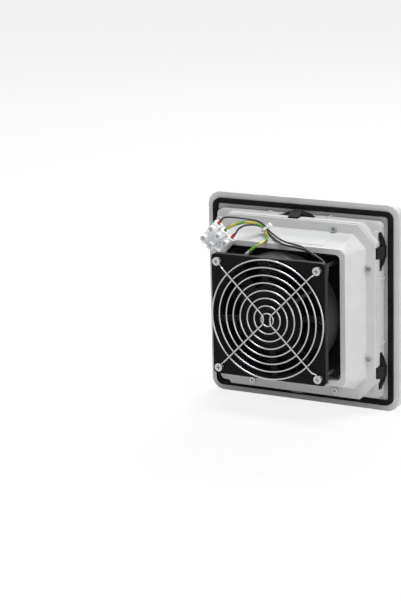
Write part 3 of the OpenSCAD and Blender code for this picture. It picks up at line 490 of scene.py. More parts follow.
@dataclass(frozen=True)
class Plated(Finish):
    """Zinc plate: metal with a faint blue and straw tint, and painted shade in its recesses."""

    # painted shade: how far the darkening looks for closed-in surface, and how dark it paints
    # it
    shade_reach: float = 0.0012
    recess_shade: float = 0.16
    blue: Colour = (0.9, 0.97, 1.06)
    straw: Colour = (1.05, 1.0, 0.86)
    tint_scale: float = 260
    tint_share: float = 0.55

    def cover(self, board: Board, colour: Any) -> Any:
        """Adds the tints of the passivated layer, and painted shade in the recesses.

        Args:
            board: The material's board.
            colour: The colour so far.

        Returns:
            The tinted colour.
        """
        layer = board.noise(board.place(), self.tint_scale, 2).step(0.35, 0.65)
        blue = tinted(self.colour, self.blue)
        straw = tinted(self.colour, self.straw)
        plate = board.blend(self.tint_share, colour, board.blend(layer, blue, straw))
        # painted shade: the colour turns dark where the surface is closed in, as in the cross
        # of a screw head
        daylight = board.node(
            "ShaderNodeAmbientOcclusion",
            {"samples": 8, "only_local": True},
            {"Distance": self.shade_reach},
            "AO",
        )
        painted_shade = scaled(self.colour, self.recess_shade)
        return board.blend(daylight.step(0.35, 0.95), painted_shade, plate)


@dataclass(frozen=True)
class Laminated(Finish):
    """Stacked sheets of steel: fine dark lines across the axis of the motor."""

    sheet: float = 0.0005
    line_dark: float = 0.35
    line_share: float = 0.7

    def cover(self, board: Board, colour: Any) -> Any:
        """Adds a line between every two sheets.

        Args:
            board: The material's board.
            colour: The colour so far.

        Returns:
            The lined colour.
        """
        along = board.node("ShaderNodeSeparateXYZ", {}, {0: board.place()}, "Y")
        lines = (along * (TURN / self.sheet)).sine().step(0.5, 0.95)
        dark = scaled(self.colour, self.line_dark)
        return board.blend(lines * self.line_share, colour, dark)


@dataclass(frozen=True)
class Wound(Finish):
    """Enamelled copper wire, wound side by side, with painted shade in the grooves between
    turns.
    """

    gauge: float = 0.0003
    # painted shade: how dark the grooves between turns are painted
    groove_shade: float = 0.45

    def make(self) -> bpy.types.Material:
        """Builds the material.

        Returns:
            The material.
        """
        board = Paint(self.name)
        spot = board.place()
        x, z = (board.node("ShaderNodeSeparateXYZ", {}, {0: spot}, axis) for axis in "XZ")
        height = ((x + z) * (TURN / self.gauge)).sine() * 0.5 + 0.5
        wander = board.noise(spot, 400, 3)
        # painted shade in the grooves between the turns of wire
        painted_shade = scaled(self.colour, self.groove_shade)
        tone = board.blend((height * 0.8 + wander * 0.3).clamped(), painted_shade, self.colour)
        return board.wear(
            Base_Color=tone,
            Roughness=(self.roughness + (wander - 0.5) * 0.2).clamped(),
            Metallic=self.metallic,
            Normal=board.bump(height, self.gauge * 0.4),
            Coat_Weight=0.6,
            Coat_Roughness=0.12,
        )


@dataclass(frozen=True)
class Foam(Finish):
    """Foamed rubber: closed skin with fine open pores, darkened with painted shade."""

    pore: float = 0.0009
    pore_depth: float = 0.00012

    def make(self) -> bpy.types.Material:
        """Builds the material.

        Returns:
            The material.
        """
        board = Paint(self.name)
        spot = board.place()
        cells = board.node(
            "ShaderNodeTexVoronoi",
            {"feature": "F1"},
            {"Vector": spot, "Scale": 1 / self.pore},
        )
        pits = 1 - cells.step(0.12, 0.42)
        patches = board.noise(spot, 55, 4)
        soft, _ = board.rounded(self.edge)
        light, dark = scaled(self.colour, 1.9, 0.004), scaled(self.colour, 0.3)
        tone = board.blend(patches.step(0.3, 0.7), self.colour, light)
        # painted shade: the pores are darkened where shade falls into them
        tone = board.blend(pits * 0.6, tone, dark)
        return board.wear(
            Base_Color=tone,
            Roughness=(self.roughness - patches * 0.12).clamped(),
            Normal=board.bump(1 - pits, self.pore_depth, soft),
            Specular_IOR_Level=0.1,
        )


@dataclass(frozen=True)
class Fibres(Finish):
    """Bonded polyester fleece: crossed fibres with shaded hollows."""

    fibre: float = 0.0012
    relief: float = 0.0004
    layers: tuple[tuple[float, float], ...] = ((0.3, 7.0), (1.2, 6.0), (2.1, 8.0), (2.8, 5.0))

    def make(self) -> bpy.types.Material:
        """Builds the material.

        A layer of fibres is a noise that is stretched one way, with a ridge where
        it passes its mean. The layers differ in turn and stretch.

        Returns:
            The material.
        """
        board = Paint(self.name)
        heap: Wire | None = None
        for turn, squeeze in self.layers:
            spot = board.place((0, turn, 0), (1, 1, squeeze))
            layer = board.noise(spot, 1 / self.fibre / 4, 3, 0.6)
            ridge = (1 - board.maths("ABSOLUTE", layer - 0.5) * 9).clamped()
            heap = ridge if heap is None else board.maths("MAXIMUM", heap, ridge)
        clouds = board.noise(board.place(), 45, 4)
        shade = scaled(self.colour, 0.6)
        tone = board.blend((heap * 0.75 + clouds * 0.35).clamped(), shade, self.colour)
        return board.wear(
            Base_Color=tone,
            Roughness=self.roughness,
            Normal=board.bump(heap, self.relief),
            Sheen_Weight=0.25,
        )


@dataclass(frozen=True)
class Milky(Finish):
    """Slightly clear plastic that scatters light inside."""

    def extras(self) -> dict[str, Any]:
        """Light passes through a part of the wall."""
        return {
            "Transmission_Weight": 0.08,
            "IOR": 1.45,
            "Subsurface_Weight": 0.3,
            "Subsurface_Scale": 0.0015,
            "Subsurface_Radius": (1.0, 1.0, 1.0),
        }


@dataclass(frozen=True)
class Insulation(Finish):
    """Wire insulation on the lead's own map: along it in V, round it in U."""

    stripe: Colour | None = None
    twist: float = 0.6
    chalk: Colour = (0.5, 0.5, 0.5)
    relief: float = 0.00003

    def make(self) -> bpy.types.Material:
        """Builds the material.

        Returns:
            The material.
        """
        board = Paint(self.name)
        spot = board.node("ShaderNodeUVMap", {"uv_map": LEAD_MAP}, {})
        u, v = (board.node("ShaderNodeSeparateXYZ", {}, {0: spot}, axis) for axis in "XY")
        rub = board.noise(board.place(), 500, 4)
        light = scaled(self.colour, 1.5, 0.01)
        tone = board.blend(rub.step(0.35, 0.75) * 0.5, self.colour, light)
        if self.stripe is not None:
            band = ((u + v * self.twist) * TURN).sine().step(-0.12, 0.12)
            tone = board.blend(band, tone, self.stripe)
        dust = board.noise(board.place(), 1500, 2).step(0.66, 0.8)
        tone = board.blend(dust * 0.12, tone, self.chalk)
        return board.wear(
            Base_Color=tone,
            Roughness=(self.roughness + (rub - 0.5) * 0.15).clamped(),
            Normal=board.bump(rub, self.relief),
        )


class Look(Enum):
    """The finishes of the part. Each value is a finish that is built once."""

    COVER = Moulding("cover_grey", (0.585, 0.59, 0.588), 0.42, edge_light=0.25)
    FRAME = Moulding("frame_grey", (0.6, 0.604, 0.603), 0.45, edge_light=0.25)
    ADAPTER = Moulding("adapter_grey", (0.61, 0.613, 0.615), 0.4, edge_light=0.3)
    CASTING = CoatedCasting(
        "black_casting", (0.004, 0.004, 0.0045), 0.4, grain_size=0.0011,
        grain_depth=0.00003, edge_light=0.04, gloss=0.07,
    )
    BLADE = Finish(
        "blade_black", (0.008, 0.008, 0.0085), 0.34, grain_size=0.002,
        grain_depth=0.00001, edge_light=0.04, gloss=0.16,
    )
    CLIP = Finish(
        "clip_black", (0.008, 0.0078, 0.008), 0.38, grain_size=0.0012,
        grain_depth=0.00001, edge_light=0.05, gloss=0.16,
    )
    SEAL = Foam("seal_foam", (0.0045, 0.0045, 0.0045), 0.9, edge=0.0006)
    # grey rather than a new mat's white: partly a used mat's grey, partly painted shade for the
    # dark gaps behind the louvres
    FLEECE = Fibres("needled_fleece", (0.6, 0.61, 0.6), 0.95)
    ZINC = Plated(
        "zinc", (0.52, 0.53, 0.55), 0.3, 1.0, mottle=0.12, mottle_size=0.004,
        grain_size=0.0004, grain_depth=0.00002, rough_swing=0.18,
    )
    WIRE = Plated(
        "drawn_wire", (0.5, 0.51, 0.53), 0.24, 1.0, mottle=0.1, mottle_size=0.006,
        grain_size=0.0003, rough_swing=0.12, edge=0.0001,
    )
    STEEL = Finish(
        "ground_steel", (0.5, 0.51, 0.53), 0.3, 1.0, mottle=0.08, mottle_size=0.003,
        grain_size=0.0003, grain_stretch=(1, 12, 1),
    )
    SHEETS = Laminated("stator_sheets", (0.3, 0.3, 0.32), 0.45, 0.9)
    ALLOY = Finish(
        "cage_alloy", (0.6, 0.6, 0.61), 0.5, 1.0, grain_size=0.0009, grain_depth=0.00004
    )
    COPPER = Wound("enamelled_copper", (0.62, 0.26, 0.1), 0.3, 0.85)
    BRASS = Finish(
        "turned_brass", (0.66, 0.47, 0.2), 0.3, 1.0, mottle=0.15, mottle_size=0.003
    )
    MILKY = Milky(
        "milky_block", (0.93, 0.945, 0.96), 0.3, mottle=0.03, grain_depth=0.000005,
        edge_light=0.5,
    )
    NYLON = Finish("white_nylon", (0.78, 0.78, 0.74), 0.4, edge_light=0.4)
    FILM = Finish(
        "blank_film", (0.64, 0.65, 0.65), 0.55, mottle=0.02, grain_size=0.0002,
        grain_depth=0.000004, edge=0.0001, gloss=0.3,
    )
    BADGE = Finish("badge_white", (0.82, 0.83, 0.83), 0.28, mottle=0.02, edge_light=0.5)
    RED = Finish("sleeve_red", (0.42, 0.025, 0.02), 0.32, edge_light=0.15)
    BLACK_LEAD = Insulation("black_lead", (0.014, 0.011, 0.017), 0.42)
    EARTH_LEAD = Insulation(
        "earth_lead", (0.08, 0.24, 0.03), 0.38, stripe=(0.5, 0.42, 0.05)
    )
    DULL_BLACK = Finish("dull_black", (0.012, 0.012, 0.014), 0.6, edge_light=0.04)

    def material(self) -> bpy.types.Material:
        """The built material, made on the first call."""
        found = bpy.data.materials.get(self.value.name)
        return found if found is not None else self.value.make()


def tidy_faces(faces: np.ndarray) -> list[list[int]]:
    """Drops a repeated last corner, so that a folded quad becomes a triangle."""
    return [f[:3] if len(set(f)) == 3 else f for f in faces.tolist()]


def join(parts: Sequence[Surface]) -> Surface:
    """Puts surfaces into one.

    Args:
        parts: The surfaces.

    Returns:
        All their points, and their faces with the corners renumbered.
    """
    starts = np.cumsum([0] + [len(points) for points, _ in parts[:-1]])
    faces = [f + start for (_, f), start in zip(parts, starts)]
    return np.vstack([points for points, _ in parts]), np.vstack(faces)


def to_object(
    name: str,
    surface: Surface,
    look: Look,
    uv: np.ndarray | None = None,
    smooth: Any = True,
) -> bpy.types.Object:
    """Puts a surface into the scene as a piece that rides on the housing.

    Args:
        name: The piece's name.
        surface: Points in metres, and faces of three or four corners.
        look: Its finish.
        uv: Map coordinates of every face corner, or none.
        smooth: Whether its faces are shaded smooth, for all or for each.

    Returns:
        The piece.
    """
    points, faces = surface
    mesh = bpy.data.meshes.new(name)
    mesh.from_pydata(points.tolist(), [], tidy_faces(faces))
    if uv is not None:
        layer = mesh.uv_layers.new(name=LEAD_MAP)
        layer.data.foreach_set("uv", uv.astype(np.float32).ravel())
    mesh.polygons.foreach_set("use_smooth", np.full(len(mesh.polygons), True) & smooth)
    mesh.materials.append(look.material())
    mesh.update()
    piece = bpy.data.objects.new(name, mesh)
    bpy.context.scene.collection.objects.link(piece)
    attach(piece, HOUSING)
    return piece


def grid_faces(rows: int, columns: int, wrap_rows: bool, wrap_columns: bool) -> np.ndarray:
    """Quads of a grid of points that is stored row by row.

    Args:
        rows: Number of rows.
        columns: Number of points in a row.
        wrap_rows: Whether the last row joins the first.
        wrap_columns: Whether the last point of a row joins its first.

    Returns:
        The quads' corners.
    """
    i = np.arange(rows if wrap_rows else rows - 1)[:, None]
    j = np.arange(columns if wrap_columns else columns - 1)[None, :]
    up, on = (i + 1) % rows, (j + 1) % columns
    quad = [i * columns + j, i * columns + on, up * columns + on, up * columns + j]
    return np.stack([np.broadcast_to(q, (i.size, j.size)) for q in quad], -1).reshape(-1, 4)


def squared(x: np.ndarray, power: float) -> np.ndarray:
    """Raises the size of x to a power and keeps its sign, which squares a circle off."""
    return np.sign(x) * np.abs(x) ** power


def curve_through(points: np.ndarray, per_span: int) -> np.ndarray:
    """A smooth path through points.

    Each span is a cubic whose slope at a point is half the step between the
    point's neighbours.

    Args:
        points: The points, one row each.
        per_span: Number of path points in each span.

    Returns:
        The path's points.
    """
    ends = np.vstack([2 * points[0] - points[1], points, 2 * points[-1] - points[-2]])
    t = (np.arange(per_span) / per_span)[None, :, None]
    a, b, c, d = (p[:, None, :] for p in (ends[:-3], ends[1:-2], ends[2:-1], ends[3:]))
    square, cube = 2 * a - 5 * b + 4 * c - d, 3 * b - a - 3 * c + d
    path = 0.5 * (2 * b + (c - a) * t + square * t**2 + cube * t**3)
    return np.vstack([path.reshape(-1, 3), points[-1]])


def frames_along(path: np.ndarray) -> tuple[np.ndarray, np.ndarray]:
    """Two directions across a path, turned as little as possible along it.

    The directions at a point are those of the point before, made square to the
    new heading.

    Args:
        path: Points of the path.

    Returns:
        The two directions at every point.
    """
    heading = np.gradient(path, axis=0)
    heading /= np.linalg.norm(heading, axis=1, keepdims=True)
    nearly_along = 0.3
    first = np.cross(heading[0], (0.0, 1.0, 0.0))
    if np.linalg.norm(first) < nearly_along:
        first = np.cross(heading[0], (1.0, 0.0, 0.0))
    sides = np.empty_like(path)
    side = first / np.linalg.norm(first)
    for k, h in enumerate(heading):
        side = side - h * (side @ h)
        side = side / np.linalg.norm(side)
        sides[k] = side
    return sides, np.cross(heading, sides)


def tube_surface(
    path: np.ndarray, radius: float, sides: int, closed: bool = False
) -> Surface:
    """A round tube: path + r (cos a) side + r (sin a) other side.

    Args:
        path: Points of its centreline.
        radius: Its radius.
        sides: Points round it.
        closed: Whether the path is a loop, without its first point repeated.

    Returns:
        The points and the faces, with flat fans at the ends of an open tube.
    """
    if closed:
        wrapped = np.vstack([path[-2:], path, path[:2]])
        one, two = (f[2:-2] for f in frames_along(wrapped))
    else:
        one, two = frames_along(path)
    a = np.linspace(0, TURN, sides, endpoint=False)[None, :, None]
    ring = np.cos(a) * one[:, None, :] + np.sin(a) * two[:, None, :]
    points = (path[:, None, :] + radius * ring).reshape(-1, 3)
    faces = grid_faces(len(path), sides, closed, True)
    if closed:
        return points, faces
    k = np.arange(sides)
    n = (len(path) - 1) * sides
    heads = np.stack([np.full(sides, len(points)), (k + 1) % sides, k, k], -1)
    tails = np.stack([np.full(sides, len(points) + 1), n + k, n + (k + 1) % sides, n + k], -1)
    return np.vstack([points, path[0], path[-1]]), np.vstack([faces, heads, tails])


@dataclass
class Lead:
    """One lead from the terminal block to the fan.

    Its route is in millimetres. On its map, V grows by 1 for every map_length
    radii along the lead.
    """

    name: str
    node: str
    look: Look
    slot: str
    radius: float
    route: Sequence[Sequence[float]]
    sides: int = 16
    per_span: int = 5
    map_length: float = 8

    def build(self) -> bpy.types.Object:
        """Makes the lead's tube, mapped along its length.

        Returns:
            The piece.
        """
        path = curve_through(np.array(self.route) * MM, self.per_span)
        points, faces = tube_surface(path, self.radius, self.sides)
        run = np.r_[0, np.cumsum(np.linalg.norm(np.diff(path, axis=0), axis=1))]
        wall = grid_faces(len(path), self.sides, False, True)
        seam = (wall % self.sides == 0) & (np.arange(4)[None, :] % 3 != 0)
        around = np.where(seam, 1.0, (wall % self.sides) / self.sides)
        along = run[wall // self.sides] / (self.map_length * self.radius)
        ends = np.full(((len(faces) - len(wall)) * 3, 2), 0.5)
        piece = to_object(
            self.name,
            (points, faces),
            self.look,
            uv=np.vstack([np.stack([around, along], -1).reshape(-1, 2), ends]),
            smooth=np.arange(len(faces)) < len(wall),
        )
        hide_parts(self.node)
        return piece


@dataclass
class Wiring:
    """The three leads and the tie that holds them. Lengths here are in millimetres."""

    tie_at: Point = (21.4, 34.4, 77.8)
    tie_turn: float = 38.0
    tie_inner: float = 3.1
    tie_thick: float = 1.0
    tie_width: float = 2.6
    tie_squareness: float = 0.45
    tie_steps: int = 48
    tie_sides: int = 16
    black_radius: float = 0.95
    earth_radius: float = 1.45
    outer: list[list[float]] = field(default_factory=lambda: [
        [59.4, 52.2, 86.7], [57.3, 52.3, 88.9], [53.8, 52.4, 90.3], [48.9, 52.2, 90.7],
        [44.0, 51.2, 90.7], [39.2, 49.1, 90.0], [34.7, 46.2, 89.1], [30.5, 42.8, 87.8],
        [26.9, 38.9, 86.0], [24.3, 35.9, 83.6], [22.4, 34.0, 80.9], [20.6, 33.0, 78.5],
        [18.8, 33.1, 76.7], [16.2, 33.9, 75.4], [11.6, 36.3, 73.9], [5.7, 40.3, 72.3],
        [-0.3, 44.3, 71.2], [-6.4, 47.9, 70.6], [-12.8, 51.4, 70.4], [-17.9, 53.9, 70.5],
        [-23.1, 56.3, 70.5], [-28.3, 58.5, 70.2], [-33.5, 60.5, 69.0], [-39.0, 61.9, 66.6],
        [-44.5, 63.0, 64.0], [-50.0, 63.9, 61.6], [-54.4, 64.4, 58.4], [-57.0, 64.4, 53.9],
        [-57.6, 64.4, 48.6], [-57.4, 64.4, 43.4], [-55.0, 64.4, 38.3], [-50.1, 64.4, 34.4],
        [-46.6, 64.4, 31.9]])
    inner: list[list[float]] = field(default_factory=lambda: [
        [45.2, 52.2, 74.0], [43.2, 52.1, 76.4], [41.2, 50.4, 79.8], [37.9, 47.1, 82.0],
        [33.9, 43.1, 82.6], [29.8, 39.0, 82.0], [26.3, 35.6, 80.4], [24.2, 33.8, 78.9],
        [22.4, 33.0, 77.2], [20.5, 33.3, 75.3], [17.9, 34.5, 73.9], [13.4, 37.2, 72.0],
        [8.0, 41.0, 70.2], [2.4, 44.7, 69.1], [-3.4, 47.9, 68.2], [-9.2, 50.5, 67.9],
        [-15.0, 52.7, 67.8], [-20.6, 54.5, 67.8], [-26.2, 56.1, 67.5], [-32.0, 57.4, 66.6],
        [-38.0, 58.9, 65.0], [-44.0, 60.4, 62.9], [-49.8, 61.6, 60.6], [-54.4, 62.0, 57.2],
        [-57.0, 62.0, 52.6], [-56.6, 62.3, 47.6], [-54.6, 63.2, 43.2], [-52.0, 64.1, 39.6],
        [-48.9, 64.4, 36.2], [-45.3, 64.4, 33.6]])
    earth: list[list[float]] = field(default_factory=lambda: [
        [55.9, 52.2, 76.3], [53.0, 52.2, 79.4], [46.9, 51.7, 82.7], [40.9, 50.1, 84.9],
        [35.4, 47.2, 86.0], [30.2, 43.3, 85.2], [25.6, 39.0, 82.5], [23.1, 36.7, 80.2],
        [21.3, 35.7, 77.6], [19.6, 36.4, 75.2], [17.6, 38.6, 73.2], [15.9, 42.0, 71.6],
        [14.6, 46.9, 70.2], [14.6, 53.4, 69.2], [15.8, 59.4, 68.3], [18.6, 63.6, 66.3],
        [22.1, 64.9, 62.7]])

    def build(self) -> None:
        """Makes the leads and the tie."""
        for side, route in (("outer", self.outer), ("inner", self.inner)):
            Lead(
                f"black_lead_{side}",
                f"lead_black_{side}",
                Look.BLACK_LEAD,
                "black_insulation",
                self.black_radius * MM,
                route,
            ).build()
        Lead(
            "earth_lead",
            "lead_earth",
            Look.EARTH_LEAD,
            "earth_insulation",
            self.earth_radius * MM,
            self.earth,
        ).build()
        self.tie()

    def tie(self) -> bpy.types.Object:
        """Makes the tie: a strap ring, its head and the cut end.

        The strap is a rounded rectangle carried round a circle: the section's point
        at angle s lies at radius R + (t/2) p(s) and height (w/2) q(s), where p and q
        are a circle pushed out towards a square.

        Returns:
            The piece.
        """
        a = np.linspace(0, TURN, self.tie_steps, endpoint=False)[:, None]
        s = np.linspace(0, TURN, self.tie_sides, endpoint=False)[None, :]
        p, q = (squared(wave(s), self.tie_squareness) for wave in (np.cos, np.sin))
        radius = (self.tie_inner + self.tie_thick / 2 + self.tie_thick / 2 * p) * MM
        height = self.tie_width / 2 * MM * q + 0 * a
        ring = np.stack([radius * np.cos(a), radius * np.sin(a), height], -1)
        strap = ring.reshape(-1, 3), grid_faces(self.tie_steps, self.tie_sides, True, True)
        head = self.block((-5.9, 0.0, 0.0), (2.3, 2.3, 2.3), 0.3)
        cut_end = self.block((-5.6, 3.0, 0.0), (0.55, 1.6, 1.25), 0.35)
        points, faces = join([strap, head, cut_end])
        t = math.radians(self.tie_turn)
        cos, sin = math.cos(t), math.sin(t)
        turn = np.array([[cos, 0, sin], [0, 1, 0], [-sin, 0, cos]])
        points = points @ turn.T + np.array(self.tie_at) * MM
        piece = to_object("lead_tie", (points, faces), Look.NYLON)
        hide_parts("cable_tie")
        log.info("tie %d points", len(points))
        return piece

    @staticmethod
    def block(centre: Point, half: Point, power: float) -> Surface:
        """A soft-edged block: a ball whose cosines and sines are raised to a low power.

        Args:
            centre: Its centre in millimetres.
            half: Its half sizes in millimetres.
            power: The power. The lower it is, the squarer the block.

        Returns:
            The points and the faces.
        """
        rows, columns = 15, 24
        u = np.linspace(0, TURN, columns, endpoint=False)[None, :]
        v = np.linspace(-math.pi / 2, math.pi / 2, rows)[:, None]
        wide, high = squared(np.cos(v), power), squared(np.sin(v), power)
        x, y = wide * squared(np.cos(u), power), wide * squared(np.sin(u), power)
        shape = np.stack([x, y, high + 0 * u], -1)
        points = (shape * np.array(half) + np.array(centre)) * MM
        return points.reshape(-1, 3), grid_faces(rows, columns, False, True)


@dataclass
class FilterMat:
    """The fleece pad between the cover and the bars."""

    half: float = 84.3 * MM
    front: float = -8.4 * MM
    rear: float = 0.6 * MM
    bar_pitch: float = 17 * MM
    bar_width: float = 2 * MM
    bar_dent: float = 0.35 * MM
    side_gap: float = 0.001
    face_gap: float = 0.3 * MM
    front_ruffle: float = 1.2 * MM
    rear_ruffle: float = 0.8 * MM
    squareness: int = 14
    waves: int = 40
    seed: int = 5
    steps: int = 161

    def build(self) -> bpy.types.Object:
        """Makes the pad as one closed form.

        With s and t from -1 to 1 across it and n its squareness, both faces lie at
        h = (1 - |s|^n - |t|^n + |s t|^n)^(1/3) times half its thickness from the
        middle plane. Waves ruffle both faces, and the bars press shallow lines into
        the rear one.

        Returns:
            The piece.
        """
        u = np.sin(np.linspace(-math.pi / 2, math.pi / 2, self.steps))
        s, t = np.meshgrid(u, u, indexing="ij")
        n = self.squareness
        rise = 1 - np.abs(s) ** n - np.abs(t) ** n + np.abs(s * t) ** n
        h = np.clip(rise, 0, 1) ** (1 / 3)
        ruffle = self.ruffle(s, t)
        x, z = (side * self.half * (1 - self.side_gap) for side in (s, t))
        near = np.minimum(self.to_bar(x), self.to_bar(z))
        dent = self.bar_dent * np.exp(-((near / self.bar_width) ** 2))
        middle, half = (self.front + self.rear) / 2, (self.rear - self.front) / 2
        fronts = middle - (half - self.face_gap + ruffle * self.front_ruffle) * h
        rears = middle + (half - self.face_gap - dent + ruffle * self.rear_ruffle) * h
        skin = grid_faces(self.steps, self.steps, False, False)
        surface = join([
            (np.stack([x, fronts, z], -1).reshape(-1, 3), skin),
            (np.stack([x, rears, z], -1).reshape(-1, 3), skin[:, ::-1]),
        ])
        piece = to_object("filter_fleece", surface, Look.FLEECE)
        self.close(piece)
        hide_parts("filter_mat")
        log.info("fleece %d faces", len(surface[1]))
        return piece

    def ruffle(self, s: np.ndarray, t: np.ndarray) -> np.ndarray:
        """The mean of many sine waves, each with a seeded turn, length and phase.

        Args:
            s: Places across the pad, from -1 to 1.
            t: Places up the pad, from -1 to 1.

        Returns:
            The mean at each place.
        """
        rng = np.random.default_rng(self.seed)
        total = np.zeros_like(s)
        for _ in range(self.waves):
            turn, length, phase = rng.uniform(0, TURN), rng.uniform(4, 40), rng.uniform(0, 7)
            along = s * math.cos(turn) + t * math.sin(turn)
            total += np.sin(length * along + phase) / self.waves
        return total

    def to_bar(self, places: np.ndarray) -> np.ndarray:
        """The distance from places on one axis to the nearest bar's middle."""
        half = self.bar_pitch / 2
        return np.abs((places + half) % self.bar_pitch - half)

    @staticmethod
    def close(piece: bpy.types.Object) -> None:
        """Joins the two faces along the rim and turns all faces outwards.

        Args:
            piece: The pad.
        """
        touching = 0.001 * MM
        shape = bmesh.new()
        shape.from_mesh(piece.data)
        bmesh.ops.remove_doubles(shape, verts=shape.verts, dist=touching)
        bmesh.ops.recalc_face_normals(shape, faces=shape.faces)
        shape.to_mesh(piece.data)
        shape.free()


@dataclass
class WireGuard:
    """The finger guard: rings on two bent wires whose ends loop round the screws."""

    ring_radius: float = 58.4 * MM
    inner_radius: float = 6.3 * MM
    rings: int = 8
    wire: float = 0.8 * MM
    ring_y: float = 75.6 * MM
    arm_y: float = 77.0 * MM
    eye_y: float = 74.3 * MM
    hole: float = 52.5 * MM
    eye_radius: float = 3.1 * MM
    step_run: float = 5 * MM
    bend_radius: float = 3 * MM
    bend_gap: float = 3.4 * MM
    straight_gap: float = 0.1 * MM
    sides: int = 14
    ring_steps_per_mm: float = 2.4
    ring_steps_least: int = 36
    eye_steps: int = 22
    run_steps: int = 7

    def build(self) -> bpy.types.Object:
        """Makes the rings and the two wires as one piece.

        Returns:
            The piece.
        """
        parts = [self.ring(k) for k in range(self.rings)]
        parts += [self.arm(side) for side in (1, -1)]
        surface = join(parts)
        piece = to_object("guard_wires", surface, Look.WIRE)
        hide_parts("finger_guard")
        log.info("guard %d faces", len(surface[1]))
        return piece

    def ring(self, k: int) -> Surface:
        """One ring: a circle of radius r in X and Z carried by a round section.

        Args:
            k: Its number, from the outside.

        Returns:
            The points and the faces.
        """
        r = self.ring_radius - k * (self.ring_radius - self.inner_radius) / (self.rings - 1)
        steps = max(self.ring_steps_least, int(r / MM * self.ring_steps_per_mm))
        a = np.linspace(0, TURN, steps, endpoint=False)
        path = self.flat_curve(r * np.cos(a), self.ring_y, r * np.sin(a))
        return tube_surface(path, self.wire, self.sides, closed=True)

    def arm(self, side: int) -> Surface:
        """One bent wire, from an upper screw to the lower one on the same side.

        The path is an arc round the screw, a slanted step up over the rings, a
        straight run to a small bend near the middle, and the same in mirror.

        Args:
            side: 1 for the side at +X, -1 for the other.

        Returns:
            The points and the faces.
        """
        c = math.cos(math.pi / 4)
        turn = np.radians(np.linspace(-435, -135, self.eye_steps))
        eye = self.flat_curve(
            self.hole + self.eye_radius * np.cos(turn),
            self.eye_y,
            self.hole + self.eye_radius * np.sin(turn),
        )
        start = self.hole - (self.eye_radius + self.wire) * c
        kink = start - self.step_run * c
        middle, off = (start + kink) / 2, self.wire * c
        step = np.array([
            [start + off, self.eye_y, start - off],
            [middle + off / 2, (self.eye_y + self.arm_y) / 2, middle - off / 2],
            [kink, self.arm_y, kink],
        ])
        reach = self.bend_gap + self.bend_radius
        run_end = reach - self.bend_radius * c + self.straight_gap
        run = np.linspace(kink, run_end, self.run_steps + 1)[1:]
        straight = self.flat_curve(run, self.arm_y, run)
        bend = np.radians(np.array([150.0, 165.0, 180.0]))
        corner = self.flat_curve(
            reach + self.bend_radius * np.cos(bend), self.arm_y, self.bend_radius * np.sin(bend)
        )
        half = np.vstack([eye, step, straight, corner])
        back = half[-2::-1] * np.array([1, 1, -1])
        path = np.vstack([half, back]) * np.array([side, 1, 1])
        return tube_surface(curve_through(path, 3), self.wire, self.sides)

    @staticmethod
    def flat_curve(x: np.ndarray, y: float, z: np.ndarray) -> np.ndarray:
        """Points with the given X and Z at one depth."""
        return np.stack([x, np.full_like(x, y), z], -1)


@dataclass
class HardParts:
    """The solids of the frame. Those that a piece replaces get a material too."""

    looks: dict[Look, str] = field(default_factory=lambda: {
        Look.FRAME: "base_frame",
        Look.ADAPTER: "fan_adapter",
        Look.COVER: "cover_grille",
        Look.BADGE: "cover_badge",
        Look.FILM: "rating_label",
        Look.SEAL: "panel_gasket",
        Look.FLEECE: "filter_mat",
        Look.CASTING: "fan_frame",
        Look.BLADE: "impeller",
        Look.CLIP: (
            "motor_cap clip_top clip_bottom clip_right_upper clip_right_lower "
            "clip_left_upper clip_left_lower"
        ),
        Look.SHEETS: "stator_core",
        Look.COPPER: "stator_windings",
        Look.ALLOY: "rotor_cage",
        Look.STEEL: (
            "front_bearing rear_bearing preload_spring rotor_shaft rotor_cup "
            "shaft_retainer hinge_pins"
        ),
        Look.ZINC: (
            "adapter_screws guard_screws earth_terminal earth_screw terminal_bracket "
            "bracket_screw block_screw terminal_screws ferrule_pins"
        ),
        Look.WIRE: "finger_guard",
        Look.MILKY: "terminal_block",
        Look.BRASS: "terminal_clamps",
        Look.RED: "ferrules",
        Look.NYLON: "lead_grommet cable_tie",
        Look.DULL_BLACK: "motor_sleeve lead_black_outer lead_black_inner lead_earth",
    })

    def dress(self) -> None:
        """Gives every solid its material."""
        look_of = {name: look for look, names in self.looks.items() for name in names.split()}
        for name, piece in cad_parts.items():
            look = look_of[name]
            for place in piece.material_slots:
                place.material = look.material()
            log.info("solid %s: %s", name, look.value.name)


@dataclass(frozen=True)
class Lamp:
    """A square soft lamp that shines at the origin."""

    name: str
    place: Point
    size: float
    power: float

    def hang(self) -> None:
        """Puts the lamp into the scene."""
        data = bpy.data.lights.new(self.name, "AREA")
        data.energy = self.power
        data.size = self.size
        lamp = bpy.data.objects.new(self.name, data)
        bpy.context.scene.collection.objects.link(lamp)
        spot = Vector(self.place)
        aim = (-spot).to_track_quat("-Z", "Y").to_matrix().to_4x4()
        lamp.matrix_world = Matrix.Translation(spot) @ aim


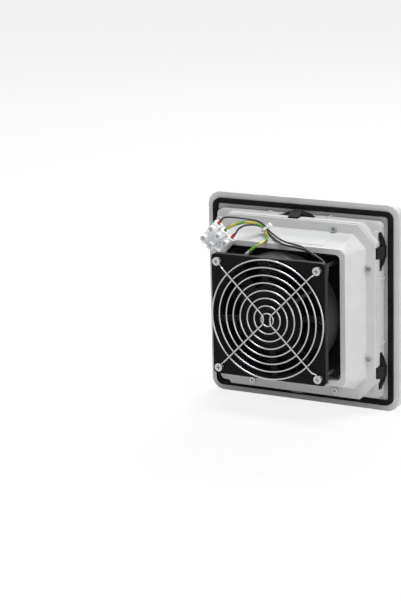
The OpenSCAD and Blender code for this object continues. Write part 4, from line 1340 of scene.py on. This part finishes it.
@dataclass
class Studio:
    """Camera, lamps, floor and background."""

    eye: Point = (-0.84644, 1.77391, 0.51892)
    right: Point = (-0.88252, -0.46967, -0.02418)
    up: Point = (0.09877, -0.23536, 0.96688)
    focal_pixels: float = 2076.17
    picture_pixels: float = 601
    sensor: float = 36
    lamps: tuple[Lamp, ...] = (
        Lamp("top", (-0.35, 0.5, 1.95), 1.0, 32.0),
        Lamp("side", (-1.9, 0.7, 0.5), 1.3, 13.0),
        Lamp("front", (0.25, -1.35, 1.35), 0.6, 26.0),
    )
    ambient: float = 0.2
    floor_z: float = -0.1025
    floor_half: float = 6.0
    floor_colour: Colour = (0.86, 0.86, 0.86)
    floor_glow: float = 0.85

    def build(self) -> None:
        """Sets up the whole studio."""
        self.camera()
        for lamp in self.lamps:
            lamp.hang()
        self.world()
        self.floor()

    def camera(self) -> None:
        """Places the camera at the photograph's viewing angle."""
        data = bpy.data.cameras.new("view")
        data.lens = self.focal_pixels * self.sensor / self.picture_pixels
        data.sensor_width = self.sensor
        camera = bpy.data.objects.new("view", data)
        bpy.context.scene.collection.objects.link(camera)
        right, up = Vector(self.right), Vector(self.up)
        turn = Matrix((right, up, right.cross(up))).transposed().to_4x4()
        camera.matrix_world = Matrix.Translation(Vector(self.eye)) @ turn
        bpy.context.scene.camera = camera

    def world(self) -> None:
        """A pale surround that the camera, metal and glass see as white."""
        world = bpy.data.worlds.new("surround")
        world.use_nodes = True
        bpy.context.scene.world = world
        board = Board(world.node_tree, "ShaderNodeOutputWorld")
        soft, white = (
            board.node("ShaderNodeBackground", {}, {"Color": WHITE, "Strength": strength})
            for strength in (self.ambient, 1.0)
        )
        share = board.direct_rays()
        board.show(board.node("ShaderNodeMixShader", {}, {0: share, 1: soft, 2: white}))

    def floor(self) -> None:
        """A pale floor that keeps a faint shadow."""
        half = self.floor_half
        corners = [(-half, -half), (half, -half), (half, half), (-half, half)]
        mesh = bpy.data.meshes.new("floor")
        mesh.from_pydata([(x, y, self.floor_z) for x, y in corners], [], [(0, 1, 2, 3)])
        board = Paint("floor_paint")
        board.wear(Base_Color=self.floor_colour, Roughness=0.9)
        glow = board.node("ShaderNodeEmission", {}, {"Color": WHITE, "Strength": 1.0})
        share = board.direct_rays() * self.floor_glow
        board.show(board.node("ShaderNodeMixShader", {}, {0: share, 1: board.body, 2: glow}))
        mesh.materials.append(board.material)
        floor = bpy.data.objects.new("floor", mesh)
        bpy.context.scene.collection.objects.link(floor)


def main() -> None:
    """Builds the part and its studio."""
    logging.basicConfig(level=logging.INFO, format="%(name)s: %(message)s")
    bpy.context.scene.view_settings.view_transform = "Standard"
    for name in ("Cube", "Light", "Camera"):
        spare = bpy.data.objects.get(name)
        if spare is not None:
            bpy.data.objects.remove(spare)
    Studio().build()
    HardParts().dress()
    FilterMat().build()
    WireGuard().build()
    Wiring().build()


if __name__ == "__main__":
    main()
